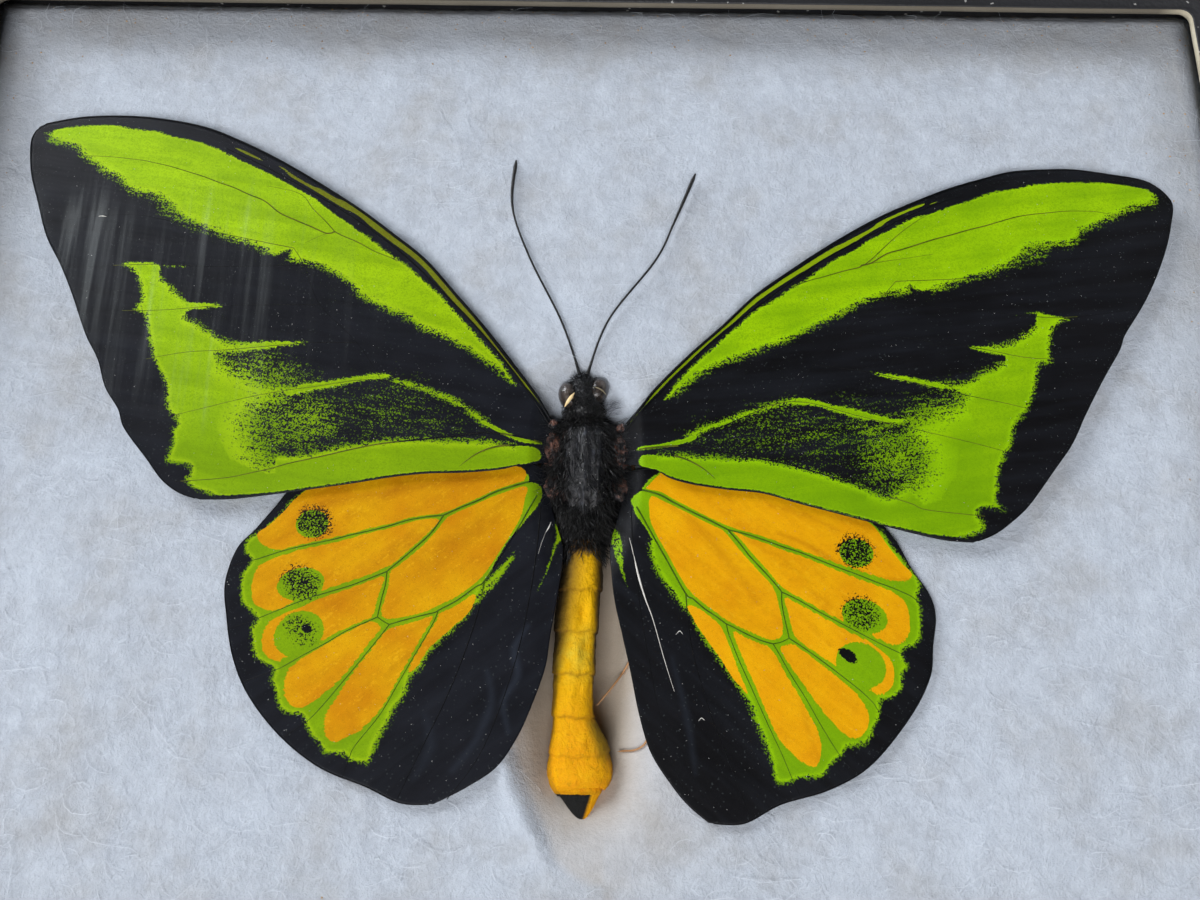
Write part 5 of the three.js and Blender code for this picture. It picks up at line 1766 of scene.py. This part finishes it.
# Painted highlights: cream crescents standing on the eyes for the gloss that catches the light, bright on the left
# eye and dim on the right
cream = strand_finish("eye_crescent", "ecc684", "ffe3ac", 0.45)
dim_glint = strand_finish("eye_crescent_dull", "6f6650", "a39678", 0.5)
EYE_GLINTS = {
    "eye_crescent_left": (
        [(-3.3, 3.85, 13.7), (-2.85, 4.5, 14.1), (-2.35, 5.2, 14.25), (-1.9, 5.9, 14.1)],
        (0.05, 0.25, 0.27, 0.06), cream, 8,
    ),
    "eye_crescent_right": (
        [(0.85, 6.9, 13.9), (1.5, 6.7, 14.05), (2.2, 6.35, 13.85), (2.8, 5.8, 13.4)],
        (0.04, 0.1, 0.1, 0.03), dim_glint, 6,
    ),
}
for glint_name, (line, widths, glint_finish, sides) in EYE_GLINTS.items():
    drawn(glint_name, [(smooth_line(line, 4), widths)], glint_finish, sides)

# Rough shiny knobs and brown plates that carry the wings: centre, halves, turn
root_brown = chitin_finish("root_plate", "7a5040", 0.95)
ROOT_KNOBS = {
    "fore_left": ((-4.9, -2.4, 12.5), (1.9, 3.1, 1.2), 0.25),
    "hind_left": ((-4.6, -7.6, 12.2), (1.7, 2.3, 1.05), -0.35),
    "edge_left": ((-5.2, 1.3, 12.9), (1.0, 0.8, 0.8), 0.5),
    "fore_right": ((4.9, -2.8, 12.5), (1.7, 3.0, 1.2), -0.2),
    "hind_right": ((4.7, -7.9, 12.2), (1.7, 2.2, 1.05), 0.4),
    "edge_right": ((5.2, 0.9, 12.9), (1.0, 0.8, 0.8), -0.5),
}
for knob_name, (centre, halves, turn) in ROOT_KNOBS.items():
    knob_points, knob_faces = ball(centre, halves, turn, 40, 48)
    away = (knob_points - centre) / halves
    creased = np.abs(lumps(knob_points * (1.6, 0.5, 1), 1.1, sum(centre), 3))
    knob_points = knob_points + away * (0.5 * creased - 0.25 + 0.05 * lumps(knob_points, 0.5, 3.0))[:, None]
    piece("wing_root_" + knob_name, knob_points, knob_faces, [root_brown], slot="body_black")

ABDOMEN = [
    (-0.1, -14.7, 10.2, 1.3, 1.4), (-0.1, -15.3, 10.2, 2.1, 2.3), (-0.1, -17.0, 10.15, 2.5, 2.9),
    (-0.25, -19.0, 10, 2.75, 3.2), (-0.6, -22.3, 10, 3.0, 3.35), (-1.0, -26, 9.95, 3.05, 3.35),
    (-1.2, -30, 9.9, 2.95, 3.3), (-1.3, -34.1, 9.9, 2.9, 3.3), (-1.4, -37, 9.9, 2.75, 3.25),
    (-1.4, -39.4, 9.9, 2.8, 3.3), (-1.0, -41.6, 9.9, 3.3, 3.5), (-0.5, -44.2, 9.9, 4.1, 3.8),
    (-0.3, -46.6, 9.95, 4.45, 3.9), (-0.25, -48.4, 10.1, 4.05, 3.6), (-0.2, -49.5, 10.2, 3.3, 3.0),
    (-0.15, -49.9, 10.3, 2.75, 2.4), (0.0, -51.5, 10.5, 1.75, 1.6), (0.15, -53.2, 10.7, 0.8, 0.8),
    (0.3, -54.8, 10.8, 0.1, 0.1),
]
HEMS = (-15.6, -17.4, -22.6, -28.4, -34.2, -39.9, -45.0, -49.6)


def hem_share(x, y):
    """Share of the way back through a ring of the abdomen, 0 at its front hem. The hems bow and waver."""
    bowed = y - 0.35 * (((x + 0.8) / 3) ** 2 - 0.5) - 0.12 * np.sin(x * 2.3) - 0.06 * np.sin(x * 6.1 + y)
    hems = np.array(HEMS[::-1])
    after = np.clip(np.searchsorted(hems, bowed), 1, len(hems) - 1)
    low, high = hems[after - 1], hems[after]
    return np.clip((high - bowed) / (high - low), 0, 1)


def abdomen_finish():
    """Dry yellow rings with a powdery top, brown glassy flanks in front with painted shade along the sides, creases
    at the hems, a black tip.
    """
    skin = Finish("abdomen_skin")
    x, y = skin.axes()[:2]
    tone = skin.noise(1.5, 4, 0.6)
    flakes = skin.noise(0.3, 4, 0.7)
    wrinkles = skin.noise(1.3, 4, 0.6, skin.stretched(1, 0.5, 1), 1.5)
    creases = skin.noise(0.8, 3, 0.6, skin.stretched(0.7, 0.5, 1, 0.6), 2.0)
    colour = skin.mix((y * -1).ramp(33, 44), "e8b000", "e89a00")
    colour = skin.mix(tone.ramp(0.3, 0.7) * 0.5, colour, "f6bc00")
    colour = skin.mix(flakes.ramp(0.55, 0.75) * 0.35, colour, "f9d436")
    papery = (1 - ((y + 31.5) * 0.2).size()).most(0) * tone.ramp(0.35, 0.65)
    colour = skin.mix(papery * 0.5, colour, "d6c944")
    colour = skin.mix(creases.ramp(0.56, 0.7) * 0.45, colour, "a87400")
    front = 1 - (y * -1).ramp(30, 44)
    # Brown flanks with painted shade along the sides, reaching further in on the left where the wing's shade falls
    colour = skin.mix(skin.mark("flank") * (front * 0.7 + 0.3), colour, "43351c")
    colour = skin.mix((skin.mark("shade") * 0.8).least(1.0), colour, "7d6a18")
    crease = skin.mark("crease") * (flakes * 0.8 + 0.4)
    colour = skin.mix(crease.least(1.0) * 0.6, colour, "6b4506")
    shoulder = (y + 17.5 + (tone - 0.5) * 0.8).ramp(-0.5, 0.4)
    colour = skin.mix(shoulder, colour, skin.mix(skin.noise(0.7, 3).ramp(0.4, 0.6), "6b4a1e", "17130f"))
    tip = (y + 49.85 + (flakes - 0.5) * 0.5) < 0
    amber_side = (x * 0.8 - y * 0.25).ramp(13.35, 13.7)
    colour = skin.mix(tip * (1 - amber_side), colour, "191918")
    skin.wear(
        base_color=colour,
        roughness=flakes * 0.3 + 0.45,
        normal=skin.bump(wrinkles * 0.8 + flakes * 0.3, 0.45),
        specular_ior_level=0.12,
    )
    return skin


abdomen_points, abdomen_faces = body_loft(profile(ABDOMEN, 220), 80, 2.35)
abdomen_x, abdomen_y = abdomen_points[:, 0], abdomen_points[:, 1]
share = hem_share(abdomen_x, abdomen_y)
middle_x = np.interp(-abdomen_y, [-row[1] for row in ABDOMEN], [row[0] for row in ABDOMEN])
outwards = outwards_of(abdomen_points, (middle_x, 10))
on_rings = ease(-50.0, -49.7, abdomen_y) * ease(-15.4, -17.4, abdomen_y)
swell = 0.26 * share**0.7 - 0.15
puckers = 0.12 * lumps(abdomen_points, 2.3, 2.0) + 0.07 * lumps(abdomen_points * (1, 2.2, 1), 1.0, 5.0)


def hump(x, y, along_x, along_y, height):
    """A rounded bump on the abdomen, or a dent where height is below 0."""
    return height * np.exp(-(((abdomen_x - x) / along_x) ** 2 + ((abdomen_y - y) / along_y) ** 2))


dents = hump(-0.1, -26.0, 0.75, 1.7, -0.55) + hump(0.9, -25.6, 0.5, 2.0, 0.28) + hump(0.5, -30.6, 0.6, 1.2, -0.45)
dents += hump(-0.9, -31.5, 0.35, 2.4, 0.2) + hump(-1.5, -37, 0.3, 2.2, 0.14) + hump(0.2, -43, 0.5, 2.0, 0.15)
flat_top = -0.25 * ease(0.75, 1.0, outwards[:, 2]) * ease(-24, -28, abdomen_y)
push = (swell + dents * (outwards[:, 2] > 0) + flat_top) * on_rings + puckers * (0.3 + 0.7 * on_rings)
abdomen_points = abdomen_points + outwards * push[:, None]
half_width = np.interp(-abdomen_y, [-row[1] for row in ABDOMEN], [row[3] for row in ABDOMEN])
across = (abdomen_x - middle_x) / half_width
# Flank cover: the front rings' brown and painted shade along the sides, wider on the left
left_reach = np.interp(-abdomen_y, [17, 22, 28, 34, 40], [-0.35, -0.5, -0.15, 0.5, 0.8])
right_reach = np.interp(-abdomen_y, [17, 22, 28, 34, 40], [0.2, 0.5, 0.75, 0.85, 0.9])
flank_brown_and_shade = np.clip(ease(left_reach, 0.92, -across) + ease(right_reach, 1.0, across), 0, 1)
crease_mark = np.exp(-(((share - 1) / 0.04) ** 2)) + np.exp(-((share / 0.03) ** 2))
strength = np.interp(-abdomen_y, [15, 20, 25, 31, 37, 42, 46, 50], [0.3, 1, 0.4, 0.9, 1, 0.7, 0.3, 0.5])
right_shade = ease(0.35, 0.8, outwards[:, 0]) * ease(-39.5, -41, abdomen_y) * ease(-46.5, -44, abdomen_y)
abdomen = piece(
    "abdomen_body",
    abdomen_points,
    abdomen_faces,
    [abdomen_finish()],
    marks={
        "flank": flank_brown_and_shade,
        "shade": right_shade,
        "crease": crease_mark * strength * on_rings,
        "fur": ease(-18.2, -16.2, abdomen_y),
    },
    replaces=["abdomen"],
    slot="abdomen_yellow",
)

# Hair: short fur on the body, longer behind the head and at the wing roots
hair_shape = strand_shape(
    "hair", [(0, 0, -0.05), (0.06, 0, 0.35), (0.2, 0.02, 0.7), (0.42, 0.02, 1.0)], (0.035, 0.035, 0.025, 0.004)
)
for hair_name, host, per_cm2, seed, sizes, lean, stray, spread in (
    ("thorax_hair", thorax, 1900, 21, (0.8, 2.4), (0, -1.1, -0.1), 0.6, "fur"),
    ("head_hair", head, 1700, 22, (0.5, 1.2), (0, -0.3, 0.1), 0.5, None),
    ("abdomen_hair", abdomen, 1500, 23, (0.8, 2.0), (0, -1.2, 0.0), 0.4, "fur"),
):
    sown(hair_name, host, hair_shape, hair_black, per_cm2, seed, sizes, lean, stray, spread)
discard(hair_shape)


HAIR_CEILING = 15.3  # just under the glass


def tuft(name, roots, ways, count, length, thickness, finish, seed):
    """Loose hairs from between two roots, each bowed its own way."""
    rng = np.random.default_rng(seed)
    lines = []
    for _ in range(count):
        start = np.array(roots[0]) + rng.random() * (np.array(roots[1]) - roots[0]) + rng.normal(0, 0.25, 3)
        way = np.array(ways[0]) + rng.random() * (np.array(ways[1]) - ways[0]) + rng.normal(0, 0.25, 3)
        way = way / np.linalg.norm(way) * length * rng.uniform(0.5, 1.2)
        bow = rng.normal(0, 0.22, 3) * length
        line = [start + way * t + bow * t * (1 - t) * 2 for t in np.linspace(0, 1, 7)]
        line = [(px, py, min(pz, HAIR_CEILING)) for px, py, pz in line]
        lines.append((line, (thickness, thickness * 0.8, thickness * 0.2)))
    drawn(name, lines, finish, 3)


# Two ends of the roots' line, two ways that the hairs point, how many, length, thickness, finish, seed
TUFTS = {
    "side_hair_left": (
        [(-4.4, 1.5, 13.0), (-4.6, -9, 13.0)], [(-0.9, 0.2, 0.15), (-0.5, -1.0, 0.1)],
        230, 3.4, 0.035, hair_black, 61,
    ),
    "side_hair_right": (
        [(4.0, 1.5, 13.0), (4.2, -9, 13.0)], [(0.9, 0.2, 0.15), (0.5, -1.0, 0.1)],
        230, 3.4, 0.035, hair_black, 62,
    ),
    "back_hair": (
        [(-2.6, -10.5, 13.0), (2.4, -10.5, 13.0)], [(-0.2, -1, 0.05), (0.2, -1, 0.05)],
        300, 4.6, 0.035, hair_black, 63,
    ),
    "cheek_hair": (
        [(2.9, 4.6, 12.5), (3.2, 3.0, 12.6)], [(0.8, 0.5, 0.5), (0.9, -0.3, 0.6)],
        60, 2.4, 0.02, hair_grey, 64,
    ),
    "collar_hair": (
        [(-3.4, 2.6, 12.8), (2.6, 2.6, 12.8)], [(-0.3, 1, 0.3), (0.3, 0.9, 0.3)],
        200, 1.6, 0.03, hair_black, 65,
    ),
}
for tuft_name, rows in TUFTS.items():
    tuft(tuft_name, *rows)


# ---------------------------------------------------------------- Antennae and legs

ANTENNAE = {
    "antenna_left": [(-1.2, 9.0, 13.3), (-4, 17, 14.2), (-9.2, 27.6, 14.6), (-12, 36, 14.6), (-11.7, 44, 14.6)],
    "antenna_right": [(-0.1, 9.0, 13.3), (3, 17.5, 14.2), (10, 27.2, 14.6), (13, 34, 14.6), (16.2, 42, 14.6)],
}
antenna_black = strand_finish("antenna_black", "0b0b0c", "211e1b", 0.35)
for antenna_name, path in ANTENNAE.items():
    run = smooth_line(path, 60)
    ringed = 1 + 0.10 * np.cos(np.arange(len(run)) * math.pi)
    shares = (0, 0.03, 0.1, 0.7, 0.84, 0.95, 1.0)
    taper = np.interp(np.linspace(0, 1, len(run)), shares, (0.34, 0.24, 0.16, 0.16, 0.25, 0.29, 0.12))
    drawn(
        antenna_name + "_shaft", [(run, taper * ringed)], antenna_black, 9,
        replaces=[antenna_name],
    )

LEGS = {
    "leg_front_left": [(-3.9, -0.6, 7.0), (-6.8, -3.4, 8.6), (-6.8, -11, 9.8), (-5.5, -15.6, 10)],
    "leg_front_right": [(3.6, -0.6, 7.0), (6.6, -3.4, 8.6), (6.6, -11, 9.8), (5.4, -15.6, 10)],
    "leg_middle_left": [(-5.6, -6, 7.2), (-8.6, -15, 8.1), (-9.4, -27, 8.6), (-8.6, -37.5, 9.4)],
    "leg_middle_right": [(5.2, -6, 7.2), (8.4, -15, 8.1), (9.4, -27, 8.6), (9.0, -42, 9.4), (5.0, -44.3, 9.6)],
    "leg_hind_left": [(-4.6, -12.2, 7.2), (-6.9, -20, 8.1), (-7.3, -28, 8.4), (-7.2, -35, 8.8)],
    "leg_hind_right": [(4.4, -12.2, 7.2), (6.6, -20, 8.1), (7.4, -28.5, 8.4), (5.9, -33, 8.6), (1.9, -38.2, 8.6)],
}
leg_brown = strand_finish("leg_brown", "94683f", "c99a6c", 0.4)
leg_spine = strand_shape("leg_spine", [(0, 0, -0.05), (0.05, 0, 0.25), (0.16, 0, 0.5)], (0.035, 0.03, 0.005))
for leg_name, path in LEGS.items():
    run = smooth_line(path, 14)
    bed = batting_height(run[:, 0], run[:, 1]) + 0.3
    run[:, 2] = np.maximum(run[:, 2], np.minimum(bed, 13.4))
    shares = (0, 0.1, 0.32, 0.36, 0.4, 0.62, 0.66, 0.7, 0.97, 1.0)
    taper = np.interp(np.linspace(0, 1, len(run)), shares, (0.4, 0.6, 0.46, 0.3, 0.32, 0.24, 0.15, 0.15, 0.12, 0.06))
    leg = drawn(leg_name + "_limb", [(run, taper)], leg_brown, 8, replaces=[leg_name])
    sown(leg_name + "_spines", leg, leg_spine, leg_brown, 350, 31, (0.7, 1.2), (0, -0.8, 0), 0.2, None)
discard(leg_spine)


# ---------------------------------------------------------------- Dust

dust_grey = strand_finish("dust", "b9babb", "f4f3ee", 0.6, grain=0.4, detail=2, depth=0.01, gloss=0.5)
flake = loose(
    "flake",
    [(0.1, 0, 0.01), (0, 0.06, 0.0), (-0.09, 0.01, 0.01), (0, -0.07, 0.0), (0, 0, 0.045), (0, 0, -0.02)],
    faces=[(0, 1, 4), (1, 2, 4), (2, 3, 4), (3, 0, 4), (1, 0, 5), (2, 1, 5), (3, 2, 5), (0, 3, 5)],
)
for k, (wing_name, membrane) in enumerate(wing_pieces.items()):
    sown(wing_name + "_dust", membrane, flake, dust_grey, 11, 41 + k, (0.15, 0.8), stray=0.3)
sown("thorax_dust", thorax, flake, dust_grey, 60, 51, (0.3, 1.1), stray=0.4)
crumb_tan = strand_finish("batting_crumb", "8a6a3e", "c9a877", 0.7)
sown("batting_crumbs", batting, flake, crumb_tan, 14, 52, (0.8, 2.6), stray=0.4, spread="rim")
discard(flake)


# White creases, nicks and a lost scale line on the wings: half widths and line
CREASES = {
    "hindwing_right": [
        ((0.03, 0.07, 0.16, 0.1, 0.06, 0.05, 0.03), [
            (6.2, -15.5), (6.8, -18), (7.5, -21), (8.4, -24), (9.5, -27), (10.9, -32), (12.3, -36.5),
        ]),
        ((0.02, 0.06, 0.02), [(12.6, -28.9), (13.1, -28.4), (13.5, -28.8)]),
        ((0.02, 0.06, 0.02), [(15.5, -40.3), (15.9, -39.9), (16.3, -40.2)]),
    ],
    "hindwing_left": [
        ((0.03, 0.13, 0.03), [(-4.9, -13.1), (-5.2, -14), (-5.6, -14.8)]),
        ((0.02, 0.03, 0.02), [(-5.6, -14.8), (-6.1, -16.4), (-6.5, -18)]),
    ],
    "forewing_left": [((0.03, 0.08, 0.03), [(-75.0, 33.2), (-74.4, 33.25), (-73.8, 33.15)])],
}
crease_white = strand_finish("crease_white", "b4afa6", "efece4", 0.5)
for wing_name, creases in CREASES.items():
    lines = []
    for widths, line in creases:
        run = smooth_line(line, 6)
        lines.append((np.column_stack([run, wing_lift(wing_name, run[:, 0], run[:, 1]) + CREASE_RISE]), widths))
    drawn(wing_name + "_creases", lines, crease_white, 5)


# ---------------------------------------------------------------- Floor

FLOOR_HALF = 3000
floor_finish = Finish("floor_matt")
floor_tone = floor_finish.noise(60, 3)
floor_colour = floor_finish.mix(floor_tone.ramp(0.3, 0.7), "d9d8d5", "dedddb")
floor_finish.wear(base_color=floor_colour, roughness=0.9)
floor = loose(
    "floor",
    [(x * FLOOR_HALF, y * FLOOR_HALF, 0) for x, y in ((-1, -1), (1, -1), (1, 1), (-1, 1))],
    faces=[(0, 1, 2, 3)],
)
floor.data.materials.append(floor_finish.material)
